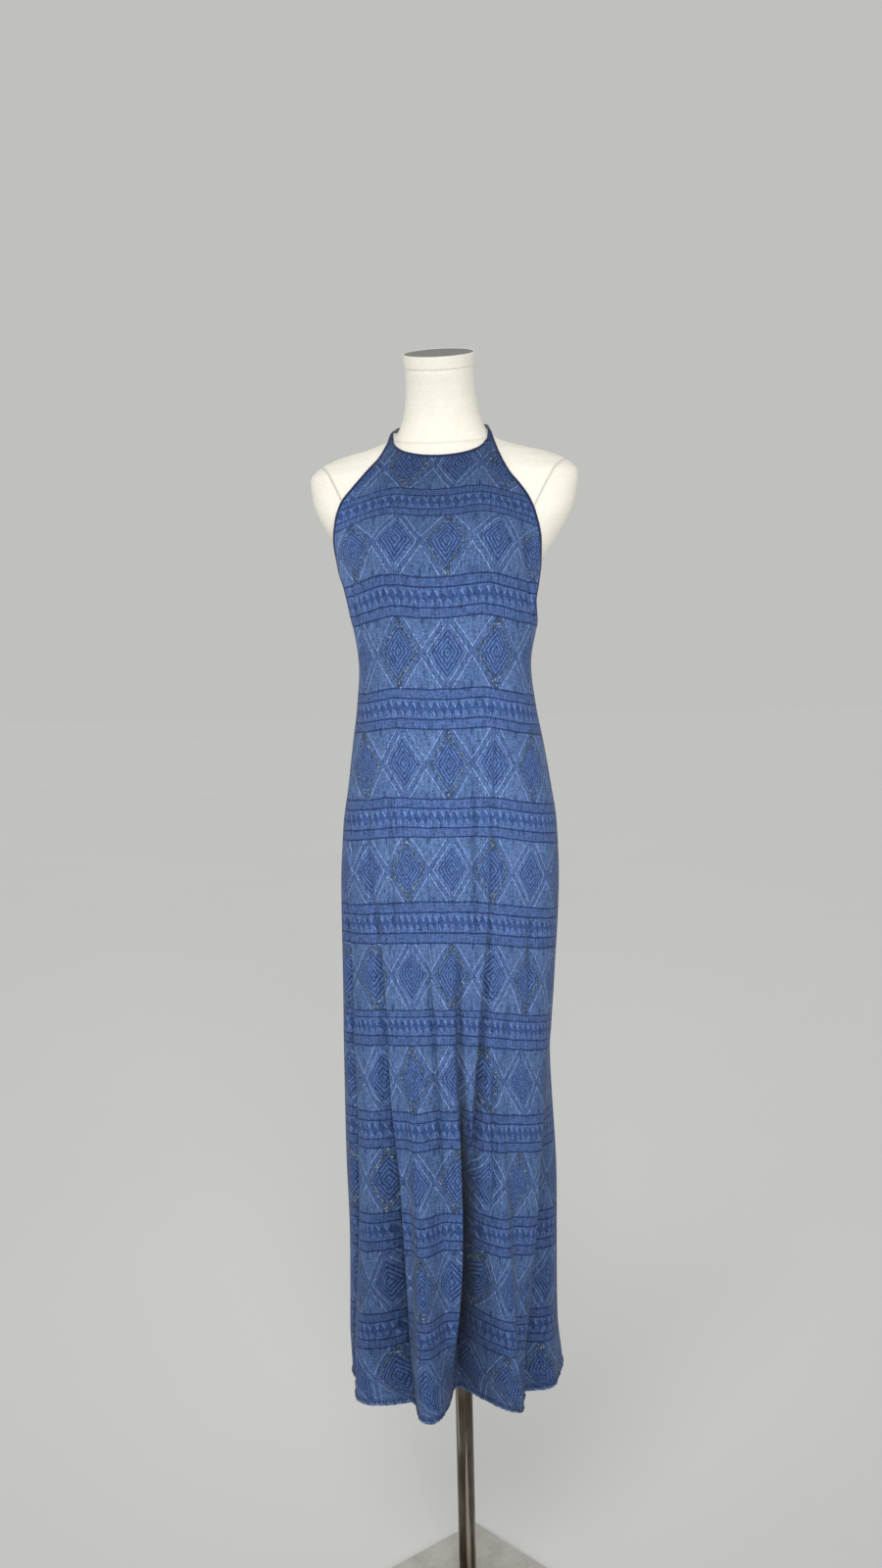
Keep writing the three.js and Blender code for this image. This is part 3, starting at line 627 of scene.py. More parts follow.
# Small creases and drag lines, each from its top down: level, direction, half width to the left and
# to the right, and rise or, where it is negative, depth.
MM_PER_DEGREE, CREASE_SHARPNESS = 2.2, 1.4
CREASES = (
    # the groove beside the left side seam
    ((1160, -78, 4, 4, 0), (1026, -70.5, 4, 4, -5), (960, -68.5, 4, 4, -9), (875, -67, 5, 4, -13),
     (751, -64.4, 6, 4, -15), (645, -65.6, 6, 4, -16), (537, -69, 6, 4, -15), (400, -76, 6, 4, -11),
     (340, -79, 5, 4, -8)),
    # two soft lines that run down into the left trough, and the trough's own bottom
    ((1210, -55, 4, 4, 0), (1184, -54.6, 4, 4, -3), (1098, -53, 4, 4, -3.5), (1032, -47.5, 4, 4, -5),
     (951, -44.8, 5, 4, -9), (869, -41.6, 6, 4, -12), (775, -40.6, 9, 4, -16), (679, -38.8, 12, 5, -24),
     (597, -38.6, 17, 5, -31), (499, -37, 20, 6, -34), (430, -35, 18, 6, -26), (380, -33.5, 13, 7, -12),
     (340, -33, 10, 7, -4)),
    ((1220, -40, 4, 4, 0), (1186, -39.5, 4, 4, -3), (1100, -38, 4, 4, -3.5), (1034, -35.8, 4, 4, -4),
     (985, -35, 4, 4, 0)),
    # down the middle of the left lobe
    ((1010, -13, 4, 4, 0), (967, -11.9, 4, 4, -5), (927, -9.5, 4, 4, -8), (873, -6, 4, 4, -7),
     (777, -3.2, 4.5, 4.5, -8), (697, -2.8, 5, 5, -6), (600, -2, 6, 6, 0)),
    # the two lines that meet in the deep fold, and its dark slit
    ((1020, 11, 4, 4, 0), (979, 12, 4, 4, -5), (897, 13.5, 5, 4, -13), (829, 15.2, 5, 4.5, -19),
     (761, 17.1, 5.5, 5, -28), (707, 18.8, 5, 6, -38), (655, 20.3, 5, 7.5, -47), (591, 20.5, 5, 9, -50),
     (519, 20.8, 5, 11, -46), (445, 21.2, 6, 14, -30), (383, 20, 8, 17, -9), (340, 20, 8, 16, 0)),
    ((1300, 41, 4, 4, 0), (1274, 40.5, 4, 4, -2.5), (1164, 34.9, 4, 4, -3.5), (1032, 33.9, 4, 4, -5),
     (960, 32.4, 4, 4, -10), (925, 31.6, 4, 4, -13), (845, 30, 4.5, 4.5, -17), (777, 27.6, 5, 5, -22),
     (723, 24.8, 5, 5, -22), (680, 23, 5, 5, -10), (640, 22, 5, 5, 0)),
    # right of the middle, from the waist to the hips
    ((1330, 22.5, 4, 4, 0), (1256, 22.8, 4, 4, -3), (1178, 23.2, 4, 4, -5), (1100, 22.9, 4, 4, -5),
     (1034, 24.2, 4, 4, -5), (980, 26, 4, 4, 0)),
    # short ones right of the deep fold
    ((835, 36.8, 4, 4, 0), (805, 36.5, 4, 4, -8), (731, 34.6, 4, 4, -10), (683, 34.4, 4, 4, -9),
     (635, 31.9, 4, 4, -7), (600, 31, 4, 4, 0)),
    ((1060, 58, 4, 4, 0), (999, 58.6, 4, 4, -5), (945, 59.4, 4, 4, -5), (880, 59, 4, 4, 0)),
    ((940, 46, 4, 4, 0), (895, 46, 4, 4, -4.5), (835, 45, 4, 4, 0)),
    ((1300, 5, 5, 5, 0), (1250, 5, 5, 5, -2.5), (1190, 4, 5, 5, 0)),
    # the recess behind the right lobe
    ((850, 80, 5, 8, 0), (745, 76, 5, 10, -6), (681, 71, 5, 15, -12), (557, 67.5, 5, 20, -18),
     (467, 66, 5, 20, -18), (407, 62, 6, 17, -12), (357, 60, 6, 12, -4)),
    # below the armholes, where the bust ends, and at the neck
    ((1524, -58.5, 4, 4, 0), (1502, -60.3, 4, 4, -3), (1458, -67.1, 4, 4, -5), (1418, -70.5, 4, 4, -4),
     (1398, -73, 4, 4, -2), (1370, -76, 4, 4, 0)),
    ((1562, 55, 4, 4, 0), (1546, 56.1, 4, 4, -3), (1524, 59.1, 4, 4, -4), (1476, 65.8, 4, 4, -5),
     (1446, 73.5, 4, 4, -4), (1428, 82, 4, 4, -2), (1405, 86, 4, 4, 0)),
    ((1656, -0.5, 3, 3, 0), (1644, -1.6, 3, 3, -2), (1622, -4.4, 3, 3, -1.5), (1606, -6, 3, 3, 0)),
    ((1684, 54, 3, 3, 0), (1668, 51, 3, 3, -3), (1650, 47, 4, 4, -3), (1622, 44, 4, 4, 0)),
    ((1656, 19, 3, 3, 0), (1646, 20.6, 3, 3, -1.5), (1620, 27.5, 3, 3, -1.5), (1608, 29, 3, 3, 0)),
    # behind, from the waist to the hips
    ((1340, 128, 5, 5, 0), (1250, 131, 5, 5, -3), (1120, 136, 6, 6, -4), (980, 140, 6, 6, -5),
     (880, 141, 6, 6, 0)),
    ((1385, 167, 4, 4, 0), (1330, 170, 5, 5, -3), (1240, 173, 5, 5, -2), (1180, 175, 5, 5, 0)),
    ((1300, 205, 5, 5, 0), (1200, 203, 5, 5, -3), (1060, 199, 6, 6, -4), (940, 193, 6, 6, -7),
     (860, 191, 6, 6, 0)),
    ((1385, 232, 4, 4, 0), (1320, 230, 5, 5, -3), (1200, 234, 5, 5, -3), (1050, 240, 6, 6, -4),
     (930, 243, 6, 6, 0)),
    ((1360, 262, 4, 4, 0), (1290, 262, 5, 5, -3), (1200, 263, 5, 5, 0)),
)


def folds_at(turn, z):
    """How far the folds move a point of the skirt outwards and sideways."""
    out, aside = np.zeros(np.shape(z * turn)), np.zeros(np.shape(z * turn))
    for hem, start, wide, narrow, reach, lean, top, growth, steepness in zip(*FOLDS.values()):
        grown = np.clip((top - z) / (top - HEM_LEVEL), 0, 1)
        centre = start + (hem - start) * grown
        spread = narrow + (wide - narrow) * grown**WIDENING
        away = np.abs((np.degrees(turn) - centre + 540) % 360 - 180) / spread
        share = np.exp(-(away**steepness)) * grown**growth
        out += reach * share
        aside += lean * share
    return out, aside


def dress_point(turn, z):
    """A point of the dress's outer face, in a direction from the front and at a level."""
    turn, z = np.broadcast_arrays(np.asarray(turn, float), np.asarray(z, float))
    half, front, back, square = (column(SKIRT, key, z) for key in list(SKIRT)[1:])
    shift = column(SHIFT, "shift", z)
    out, aside = folds_at(turn, z)
    reach = reach_of(half, front, back, square, turn) + out
    x = shift + reach * np.sin(turn) + aside * np.cos(turn)
    y = -reach * np.cos(turn) + aside * np.sin(turn)
    y -= bust_rise(x, z, turn)
    skirt = np.stack([x, y, z], axis=-1)
    upper = smooth((z - BODICE["blend_from"]) / (BODICE["blend_to"] - BODICE["blend_from"]))
    lift_share = (z - SHOULDER_LIFT["from"]) / (SHOULDER_LIFT["to"] - SHOULDER_LIFT["from"])
    lift = SHOULDER_LIFT["height"] * smooth(lift_share)
    bodice = form_point(turn, z - lift, BODICE["ease"], BODICE["side_ease"])
    bodice[..., 0] += shift
    bodice[..., 2] = z
    return skirt + (bodice - skirt) * upper[..., None]


def crease_at(turn, z):
    """How far the small creases raise the cloth at a place."""
    rise = np.zeros(np.shape(z * turn))
    for crease in CREASES:
        level, direction, left, right, height = np.array(crease[::-1], float).T
        away = (np.degrees(turn) - np.interp(z, level, direction) + 180) % 360 - 180
        half_width = np.where(away < 0, np.interp(z, level, left), np.interp(z, level, right))
        across = away * MM_PER_DEGREE / half_width
        depth = np.interp(z, level, height, left=0, right=0)
        rise += depth * np.exp(-(np.abs(across) ** CREASE_SHARPNESS))
    return rise


TURN_STEP, LEVEL_STEP = 0.02, 2


def dress_normal(turn, z):
    """The way out of the dress, square to its face."""
    across = dress_point(turn + TURN_STEP, z) - dress_point(turn - TURN_STEP, z)
    up = dress_point(turn, z + LEVEL_STEP) - dress_point(turn, z - LEVEL_STEP)
    normal = np.cross(across, up)
    return normal / np.linalg.norm(normal, axis=-1, keepdims=True)


def station(turn, z):
    """A point of the creased cloth and the way out there."""
    outwards = np.stack([np.sin(turn), -np.cos(turn), 0 * turn], axis=-1)
    creased = dress_point(turn, z) + outwards * crease_at(turn, z)[..., None]
    return creased, dress_normal(turn, z)


HALVINGS = 30


def turn_at(x, z):
    """The direction in which the front is so far out to one side, found by halving."""
    low, high = np.full(np.shape(x), -math.pi / 2), np.full(np.shape(x), math.pi / 2)
    for _ in range(HALVINGS):
        middle = (low + high) / 2
        inside = dress_point(middle, z)[..., 0] < x
        low, high = np.where(inside, middle, low), np.where(inside, high, middle)
    return (low + high) / 2


# The weave's own lines: how far out from the middle of the front each column of diamonds lies, the
# length of cloth from the top row down to each level, and how far a row of the weave droops at each
# side and how sharply, and how much it rises over two soft places in front.
ROW_PITCH, COLUMN_PITCH = 141.0, 65.0
COLUMNS = table(
    "z left3 left2 left1 middle right1 right2 right3 right4",
    (403, -190, -137, -49, 5, 80, 152, 208, 263),
    (541, -170, -131, -46, 4, 101, 144, 201, 256),
    (688, -156, -101, -47, 18, 80, 129, 185, 242),
    (825, -140, -89, -39, 19.5, 61, 114, 167, 221),
    (964, -158, -100, -42, 11.5, 70, 119, 176, 234),
    (1103, -173, -107, -50, 12, 66, 123, 181, 240),
    (1246, -181, -117, -53, 9, 72, 131, 192, 254),
    (1390, -189, -123, -57, 11, 78, 144, 210, 276),
    (1538, -189, -121, -53.5, 14.5, 85, 147, 213, 279),
    (1642, -172, -106, -40, 26, 92, 158, 224, 290),
)
LENGTHS = table(
    "z length",
    (257, 1413), (401, 1269), (533, 1128), (675, 987), (817, 846), (903, 763.5), (912, 749.5),
    (960, 705), (1003, 660.5), (1060, 608.5), (1103, 564), (1146, 519.5), (1198, 467.5),
    (1244, 423), (1290, 378.5), (1344, 326.5), (1392, 282), (1492, 185.5), (1540, 141),
    (1572, 96.5), (1582, 82.5), (1599, 58.5), (1609, 44.5), (1642, 0), (1742, -100),
)
DROOP = table(
    "z left right power hump",
    (357, 16, 22, 3, 0),
    (401, 16, 22, 3, -2),
    (533, 20, 27, 3, 0),
    (675, 10, 20, 3, 0),
    (903, 11, 24, 3, 0),
    (1003, 8, 20, 3, 0),
    (1060, 13, 23, 3, 0),
    (1146, 10, 17, 3, 2),
    (1198, 4, 15, 3, 3),
    (1344, 5, 11, 3, 4),
    (1492, 8, 10, 4, 6),
    (1572, 36, 40, 6, 6),
    (1692, 36, 40, 6, 4),
)
HUMP = {"turn": 36, "spread": 16}
# A grid of places all round the dress, and the length of cloth along each of its levels.
GRID_LEVELS = np.linspace(HEM_LEVEL, 1700, 270)
GRID_TURNS = np.radians(np.linspace(-180, 360, 1081))
grid_points = dress_point(GRID_TURNS[None, :], GRID_LEVELS[:, None])
grid_steps = np.linalg.norm(np.diff(grid_points, axis=1), axis=2)
GRID_RUN = np.concatenate([np.zeros((len(GRID_LEVELS), 1)), np.cumsum(grid_steps, axis=1)], axis=1)


def run_at(turn, z):
    """Length along the cloth round a level, from behind and through the left to a direction."""
    row = np.interp(z, GRID_LEVELS, np.arange(len(GRID_LEVELS)))
    place = np.interp(turn, GRID_TURNS, np.arange(len(GRID_TURNS)))
    r = np.clip(row.astype(int), 0, len(GRID_LEVELS) - 2)
    c = np.clip(place.astype(int), 0, len(GRID_TURNS) - 2)
    up, along = row - r, place - c
    low = GRID_RUN[r, c] * (1 - along) + GRID_RUN[r, c + 1] * along
    high = GRID_RUN[r + 1, c] * (1 - along) + GRID_RUN[r + 1, c + 1] * along
    return low * (1 - up) + high * up


def cloth_place(turn, z, behind):
    """How far across and along the cloth a point lies, from its middle line and its top row."""
    out = run_at(turn, z) - run_at(math.pi if behind else 0.0, z)
    across = out
    if not behind:
        knots = [column(COLUMNS, key, z) for key in list(COLUMNS)[1:]]
        across = np.minimum(out - knots[0], 0) + np.maximum(out - knots[-1], 0) - 3 * COLUMN_PITCH
        for low, high in zip(knots, knots[1:]):
            across = across + COLUMN_PITCH * np.clip((out - low) / (high - low), 0, 1)
    left, right, power, hump = (np.interp(z, DROOP["z"], DROOP[key]) for key in list(DROOP)[1:])
    aside = (np.abs(np.degrees(turn)) - HUMP["turn"]) / HUMP["spread"]
    level = z + np.where(np.sin(turn) < 0, left, right) * np.abs(np.sin(turn)) ** power
    level -= hump * np.exp(-aside * aside)
    return np.stack([across, -np.interp(level, LENGTHS["z"], LENGTHS["length"])], axis=-1)


FRONT_COLUMNS, BACK_COLUMNS = 210, 150
HEM_TURN = {"height": 7.0, "thick": 0.8, "ease": 1.6}
# The stitching draws the hem up into small uneven waves.
PUCKER = {"depth": 0.8, "pitch": 14.0, "drift": 61.0, "sway": 0.6, "height": 16.0}
EDGE_ROLL = {"width": 2.6, "depth": 1.1}
BODICE_ROWS = 56
ROW_CROWDING, COLUMN_CROWDING = 1.2, 3.2
# How soon the bodice's columns leave the line of the skirt's, and how squarely they end at the edges.
SHIFT_FADE, SHIFT_SQUARENESS = 6, 4
SKIRT_STEPS = ((360, 3), (366, 4), (380, 4), (SIDE_SEAM_TOP, 150))
skirt_levels = levels_through(HEM_LEVEL, SKIRT_STEPS)
# Half of the side seams' gap, as a turn at the flanks' distance from the middle.
FLANK = 120
SEAM_TURN = SEAM_GAP / 2 / FLANK
BESIDE_SEAM = np.array([0, 0.0015, 0.0035])
EVEN_FROM = 0.006


def panel_shares(columns):
    """Where a panel's columns lie across it: even, with some more beside its side seams."""
    even = np.linspace(EVEN_FROM, 1 - EVEN_FROM, columns - 2 * len(BESIDE_SEAM) + 1)
    return np.concatenate([BESIDE_SEAM, even, 1 - BESIDE_SEAM[::-1]])


def front_places():
    """The directions and levels of the front's rows of points, hem first."""
    shares = panel_shares(FRONT_COLUMNS)
    turns, levels = [], []
    for z in skirt_levels:
        start = math.radians(column(SIDE_SEAM, "left", z)) + SEAM_TURN
        stop = math.radians(column(SIDE_SEAM, "right", z)) - SEAM_TURN
        turns.append(even_turns(lambda fine: dress_point(fine, z), start, stop, shares))
        levels.append(np.full(len(shares), z))
    # Above the side seams each row runs from armhole to armhole, and dips more and more in the
    # middle until the last one is the neck edge. The first rows still follow the skirt's columns.
    even = 2 * shares - 1
    round_place = np.sin(even * math.pi / 2)
    seam_reach = np.where(even < 0, ARMHOLE["left"][0], ARMHOLE["right"][0])
    first_shift = dress_point(turns[-1], levels[-1])[:, 0] / seam_reach - round_place
    for r in range(1, BODICE_ROWS + 1):
        share = (r / BODICE_ROWS) ** ROW_CROWDING
        edge = SIDE_SEAM_TOP + (ARMHOLE["z"][-1] - SIDE_SEAM_TOP) * share
        reach = np.where(even < 0, column(ARMHOLE, "left", edge), column(ARMHOLE, "right", edge))
        place = round_place + (even - round_place) * COLUMN_CROWDING * share * (1 - share)
        kept_shift = first_shift * (1 - share) ** SHIFT_FADE
        place = place + kept_shift * (1 - place**SHIFT_SQUARENESS)
        dip = NECK_DROP * np.clip(1 - place**2, 0, 1) ** NECK_SQUARENESS
        z = edge - dip * share * share
        turns.append(turn_at(place * reach, z))
        levels.append(z)
    return np.array(turns), np.array(levels)


def back_places():
    """The directions and levels of the back's rows of points, hem first."""
    shares = panel_shares(BACK_COLUMNS)
    turns, levels = [], []
    for z in skirt_levels:
        start = math.radians(column(SIDE_SEAM, "right", z)) + SEAM_TURN
        stop = math.radians(column(SIDE_SEAM, "left", z)) + 2 * math.pi - SEAM_TURN
        turns.append(even_turns(lambda fine: dress_point(fine, z), start, stop, shares))
        high = smooth(2 * (z - HEM_LEVEL) / (SIDE_SEAM_TOP - HEM_LEVEL) - 1)
        levels.append(z - BACK_DIP * high * np.sin(math.pi * shares))
    return np.array(turns), np.array(levels)


# How much of a hanging fold's depth counts towards the cloth's painted shade, beside all of a crease's
# depth.
FOLD_SHARE = 0.35


def panel_mesh(name, turns, levels, behind, sewn_rows):
    """A thin closed cloth over rows of places, with its places on the flat cloth as a UV map."""
    outer, normal = station(turns, levels)
    rows, columns = turns.shape
    # The side edges roll in to the seam, and the hem is turned up once.
    run = run_at(turns, levels)
    from_edge = np.minimum(run - run[:, :1], run[:, -1:] - run)
    roll = EDGE_ROLL["depth"] * np.clip(1 - from_edge / EDGE_ROLL["width"], 0, 1) ** 2
    roll[sewn_rows:] = 0
    doubled = HEM_TURN["thick"] * smooth((HEM_LEVEL + HEM_TURN["height"] - levels) / HEM_TURN["ease"])
    wave = run / PUCKER["pitch"] + PUCKER["sway"] * np.sin(run * 2 * math.pi / PUCKER["drift"])
    near_hem = smooth(1 - (levels - HEM_LEVEL) / PUCKER["height"])
    pucker = PUCKER["depth"] * near_hem * np.sin(2 * math.pi * wave)
    outer = outer + normal * (doubled / 2 + pucker - roll)[..., None]
    inner = outer - normal * (CLOTH + doubled)[..., None]
    points = np.concatenate([outer.reshape(-1, 3), inner.reshape(-1, 3)])
    faces = band_faces(rows, columns, False)
    count = rows * columns
    edge = np.concatenate([
        np.arange(columns),
        np.arange(2, rows + 1) * columns - 1,
        np.arange(count - 2, count - columns - 1, -1),
        np.arange(rows - 2, 0, -1) * columns,
    ])
    beside = np.roll(edge, -1)
    rim = np.stack([beside, edge, edge + count, beside + count], axis=-1)
    mesh = mesh_from(name, points, np.concatenate([faces, faces[:, ::-1] + count, rim]))
    place = np.tile((cloth_place(turns, levels, behind) * MM).reshape(-1, 2), (2, 1))
    corners = np.zeros(len(mesh.loops), dtype=np.int32)
    mesh.loops.foreach_get("vertex_index", corners)
    # Each point's depth in the creases and folds, kept for the painted shade in the cloth's colour.
    depth = -crease_at(turns, levels) - FOLD_SHARE * np.minimum(folds_at(turns, levels)[0], 0)
    fold_depth = np.tile(np.maximum(depth, 0).ravel(), 2).astype(np.float32)
    mesh.attributes.new("fold_depth", "FLOAT", "POINT").data.foreach_set("value", fold_depth)
    mesh.uv_layers.new(name="cloth").data.foreach_set("uv", place[corners].astype(np.float32).ravel())
    return mesh


TOOTH_PITCH = COLUMN_PITCH / 6
BAND = {"from": 45.0, "teeth": 12.2, "edge": 0.4, "tooth_slope": 0.5, "tooth_lean": 0.12}
STROKE = {"lean": 0.5, "shift": 1.2, "half": 0.5, "soft": 0.8, "low": (1.2, 3.0), "high": (9.5, 7.0)}
CORD = {"half": 0.95, "soft": 0.8, "beside_teeth": 0.6}
DIAMOND = {"slope": 1.5, "inner": 27.0, "outer": 36.6, "ring": 4.9, "last_ring": 23.0, "edge": 0.6}
PALE_LINE = {"half": 0.55, "soft": 0.45, "ends": 36.0}
BUD = {"half": 1.8, "soft": 1.6, "from": 34, "to": 38}
STRING = {"middle": 25.5, "half": 2.6, "soft": 1.0, "tip_half": 4.5, "tip_soft": 3.0, "tip_spread": 4.0}
BEAD = {"cells": 0.55, "half": 0.55, "soft": 0.15, "left_out": 0.12}
HEM_WEAR_AND_SHADE = {"fold": (3.5, 1.0), "shade_level": 8.0, "shade_half": 1.2}
WANDER = {"across": 3.0, "along": 3.4}
# Where light and shade are painted into the cloth's colour: along it from the top row, and out from its
# middle line.
PAINTED_LIGHT_PLACES = {
    "waist_up": (-560, -380), "chest": (-220, 40), "hem": (-380, -700), "bust": (-330, -180),
    "sides": (85, 190), "left": (-60, -150),
}
FOLD_SHADE = {"shallow": (0.5, 5), "deep": (6, 40)}
DENIM = {
    "plain": seen(69, 93, 135),
    "plain_faded": seen(77, 101, 143),
    "ground": seen(65, 89, 133),
    "faded": seen(72, 96, 140),
    "ring_dark": seen(43, 65, 111),
    "ring_light": seen(76, 100, 146),
    "strip": seen(63, 88, 134),
    "purple": seen(69, 88, 134),
    "gap": seen(50, 73, 121),
    "tooth": seen(71, 95, 141),
    "pale": seen(146, 168, 208),
    "cord": seen(27, 43, 84),
}
BEADS = {
    "gold": seen(104, 101, 84),
    "green": seen(50, 66, 62),
    "dark": seen(22, 28, 42),
    "pale": seen(158, 170, 184),
}
BEAD_STOPS = [
    (0.0, BEADS["gold"]), (0.16, BEADS["green"]), (0.32, BEADS["dark"]), (0.8, BEADS["green"]),
    (1.0, BEADS["pale"]),
]


def from_centre(place, pitch):
    """How far a place lies from the middle of its repeat, in a pattern of this pitch."""
    return (place + pitch / 2) % pitch - pitch / 2


def new_jacquard(name):
    """The denim-blue cloth: bands of sawtooth between rows of diamonds, half of them beaded."""
    material, shader, here = new_finish(
        name, Specular_IOR_Level=0.1, Sheen_Weight=0.06, Sheen_Roughness=0.5
    )
    cloth = here.node("UVMap", {"uv_map": "cloth"}, {}, "UV")
    flat = cloth.stretched(1 / MM, 1 / MM, 1)
    # The weave wanders a little from its chart.
    across = flat.axis("X") + (flat.noise(0.055, 2.0) - 0.5) * WANDER["across"]
    along = flat.axis("Y") + (flat.noise(0.045, 3.0) - 0.5) * WANDER["along"]
    column_turn = across / COLUMN_PITCH
    row_turn = along / ROW_PITCH
    column_number = (column_turn + 0.5).math("FLOOR")
    row_number = (row_turn + 0.5).math("FLOOR")
    x = (column_turn - column_number) * COLUMN_PITCH
    y = (row_turn - row_number) * ROW_PITCH
    out_x, out_y = abs(x), abs(y)
    beaded = ((column_number + row_number) % 2.0).math("GREATER_THAN", 0.5)
    in_band = out_y.rise(BAND["from"] - BAND["edge"], BAND["from"] + BAND["edge"])
    in_row = 1 - in_band

    # The cloth's own grain: long uneven warp threads, finer specks, and worn, faded clouds.
    warp = flat.stretched(0.42, 0.06, 1).noise(1.0, 2.0, 0.6)
    weft = flat.stretched(0.09, 0.55, 1).noise(1.0, 2.0, 0.6)
    specks = flat.noise(0.36, 3.0, 0.8)
    faded = flat.noise(0.016, 3.0, 0.55)
    patches = flat.noise(0.07, 3.0, 0.6)

    # Rows of diamonds: rings within, and a channel between two pale lines round each.
    diamond = out_x + out_y / DIAMOND["slope"]
    inside = diamond.within(DIAMOND["inner"], DIAMOND["edge"])
    triangle = (1 - diamond.within(DIAMOND["outer"], DIAMOND["edge"])) * in_row
    ring_wave = (diamond / DIAMOND["ring"] * (2 * math.pi)).math("COSINE").rise(-0.8, 0.8)
    ringed = diamond.within(DIAMOND["last_ring"], 0.8)
    inner_line = abs(diamond - DIAMOND["inner"]).within(PALE_LINE["half"], PALE_LINE["soft"])
    outer_line = abs(diamond - DIAMOND["outer"]).within(PALE_LINE["half"], PALE_LINE["soft"])
    inner_line = inner_line * out_y.within(PALE_LINE["ends"], 2.0)
    pale_line = inner_line.math("MAXIMUM", outer_line * in_row)
    channel = in_row * (1 - inside) * (1 - triangle)
    dashes = channel * flat.stretched(0.24, 0.4, 1).noise(1.0, 1.0).rise(0.46, 0.6)
    bud = abs(out_x - COLUMN_PITCH / 2).within(BUD["half"], BUD["soft"])
    bud = bud * out_y.rise(BUD["from"], BUD["to"]) * in_row

    # Bands: two strips with a row of teeth between them, edged with dark cords.
    from_middle = ROW_PITCH / 2 - out_y
    band_y = y - y.math("SIGN") * (ROW_PITCH / 2)
    in_teeth = from_middle.within(BAND["teeth"], BAND["edge"])
    tooth_x = abs(from_centre(across + band_y * BAND["tooth_lean"], TOOTH_PITCH))
    tooth = (from_middle * BAND["tooth_slope"] - tooth_x).rise(-1.0, 1.0) * in_teeth
    stroke_x = abs(from_centre(across + band_y * STROKE["lean"] - STROKE["shift"], TOOTH_PITCH))
    stroke = stroke_x.within(STROKE["half"], STROKE["soft"])
    stroke = stroke * from_middle.rise(*STROKE["low"]) * from_middle.rise(*STROKE["high"])
    edge_cord = abs(out_y - BAND["from"]).within(CORD["half"], CORD["soft"])
    teeth_cord = abs(from_middle - BAND["teeth"] - CORD["beside_teeth"]).within(CORD["half"], CORD["soft"])
    cord = edge_cord.math("MAXIMUM", teeth_cord)

    # Beads round every other diamond: dull gold, dark green, near black and a few pale ones.
    cells = {"Vector": flat, "Scale": BEAD["cells"], "Randomness": 0.8}
    bead_far = flat.node("TexVoronoi", {"feature": "F1"}, cells, "Distance")
    bead_colour = flat.node("TexVoronoi", {"feature": "F1"}, cells, "Color")
    pick = bead_colour.node("SeparateColor", {}, {"Color": bead_colour}, "Red")
    strung = bead_colour.node("SeparateColor", {}, {"Color": bead_colour}, "Green")
    near_tip = out_x.within(STRING["tip_half"], STRING["tip_soft"]) * STRING["tip_spread"]
    from_string = abs(diamond - STRING["middle"] - near_tip * 0.8) - near_tip
    bead_band = from_string.within(STRING["half"], STRING["soft"]) * in_row * beaded
    bead = bead_band * bead_far.within(BEAD["half"], BEAD["soft"])
    bead = bead * strung.math("GREATER_THAN", BEAD["left_out"])
    bead_shade = pick.node("ValToRGB", {"stops": BEAD_STOPS}, {"Fac": pick})

    # Colours, from the ground up.
    colour = faded.rise(0.3, 0.7).mix(DENIM["ground"], DENIM["faded"])
    colour = triangle.mix(colour, faded.rise(0.35, 0.65).mix(DENIM["plain"], DENIM["plain_faded"]))
    colour = ringed.mix(colour, ring_wave.mix(DENIM["ring_light"], DENIM["ring_dark"]))
    colour = (dashes * 0.4).mix(colour, DENIM["gap"])
    colour = in_band.mix(colour, patches.rise(0.38, 0.66).mix(DENIM["strip"], DENIM["purple"]))
    colour = in_teeth.mix(colour, tooth.mix(DENIM["gap"], DENIM["tooth"]))
    colour = (stroke * 0.45).mix(colour, DENIM["pale"])
    colour = (pale_line * specks.rise(0.12, 0.42) * 0.68).mix(colour, DENIM["pale"])
    colour = (bud * 0.55).mix(colour, DENIM["cord"])
    colour = (cord * specks.rise(0.2, 0.5) * 0.95).mix(colour, DENIM["cord"])
    colour = (bead_band * 0.45).mix(colour, DENIM["gap"])
    # The turned hem is worn pale along its fold, and a little painted shade lies above its stitches.
    above_hem = here.axis("Z") / MM - HEM_LEVEL
    worn = above_hem.rise(*HEM_WEAR_AND_SHADE["fold"]) * patches.rise(0.4, 0.55)
    shade = abs(above_hem - HEM_WEAR_AND_SHADE["shade_level"]).within(HEM_WEAR_AND_SHADE["shade_half"], HEM_WEAR_AND_SHADE["shade_half"])
    colour = (worn * 0.4).mix(colour, DENIM["pale"])
    colour = (shade * 0.35).mix(colour, DENIM["cord"])
    # Painted light and shade: the chest is painted darkest, the bodice's sides and the waist palest, and
    # the hem darker again, as the light falls on them.
    painted_light_and_shade = 1 - along.rise(*PAINTED_LIGHT_PLACES["waist_up"]) * 0.06 - along.rise(*PAINTED_LIGHT_PLACES["chest"]) * 0.34
    painted_light_and_shade = painted_light_and_shade - along.rise(*PAINTED_LIGHT_PLACES["hem"]) * 0.15
    painted_side_light = abs(across).rise(*PAINTED_LIGHT_PLACES["sides"]) * 0.3 + across.rise(*PAINTED_LIGHT_PLACES["left"]) * 0.12
    painted_light_and_shade = painted_light_and_shade + along.rise(*PAINTED_LIGHT_PLACES["bust"]) * painted_side_light
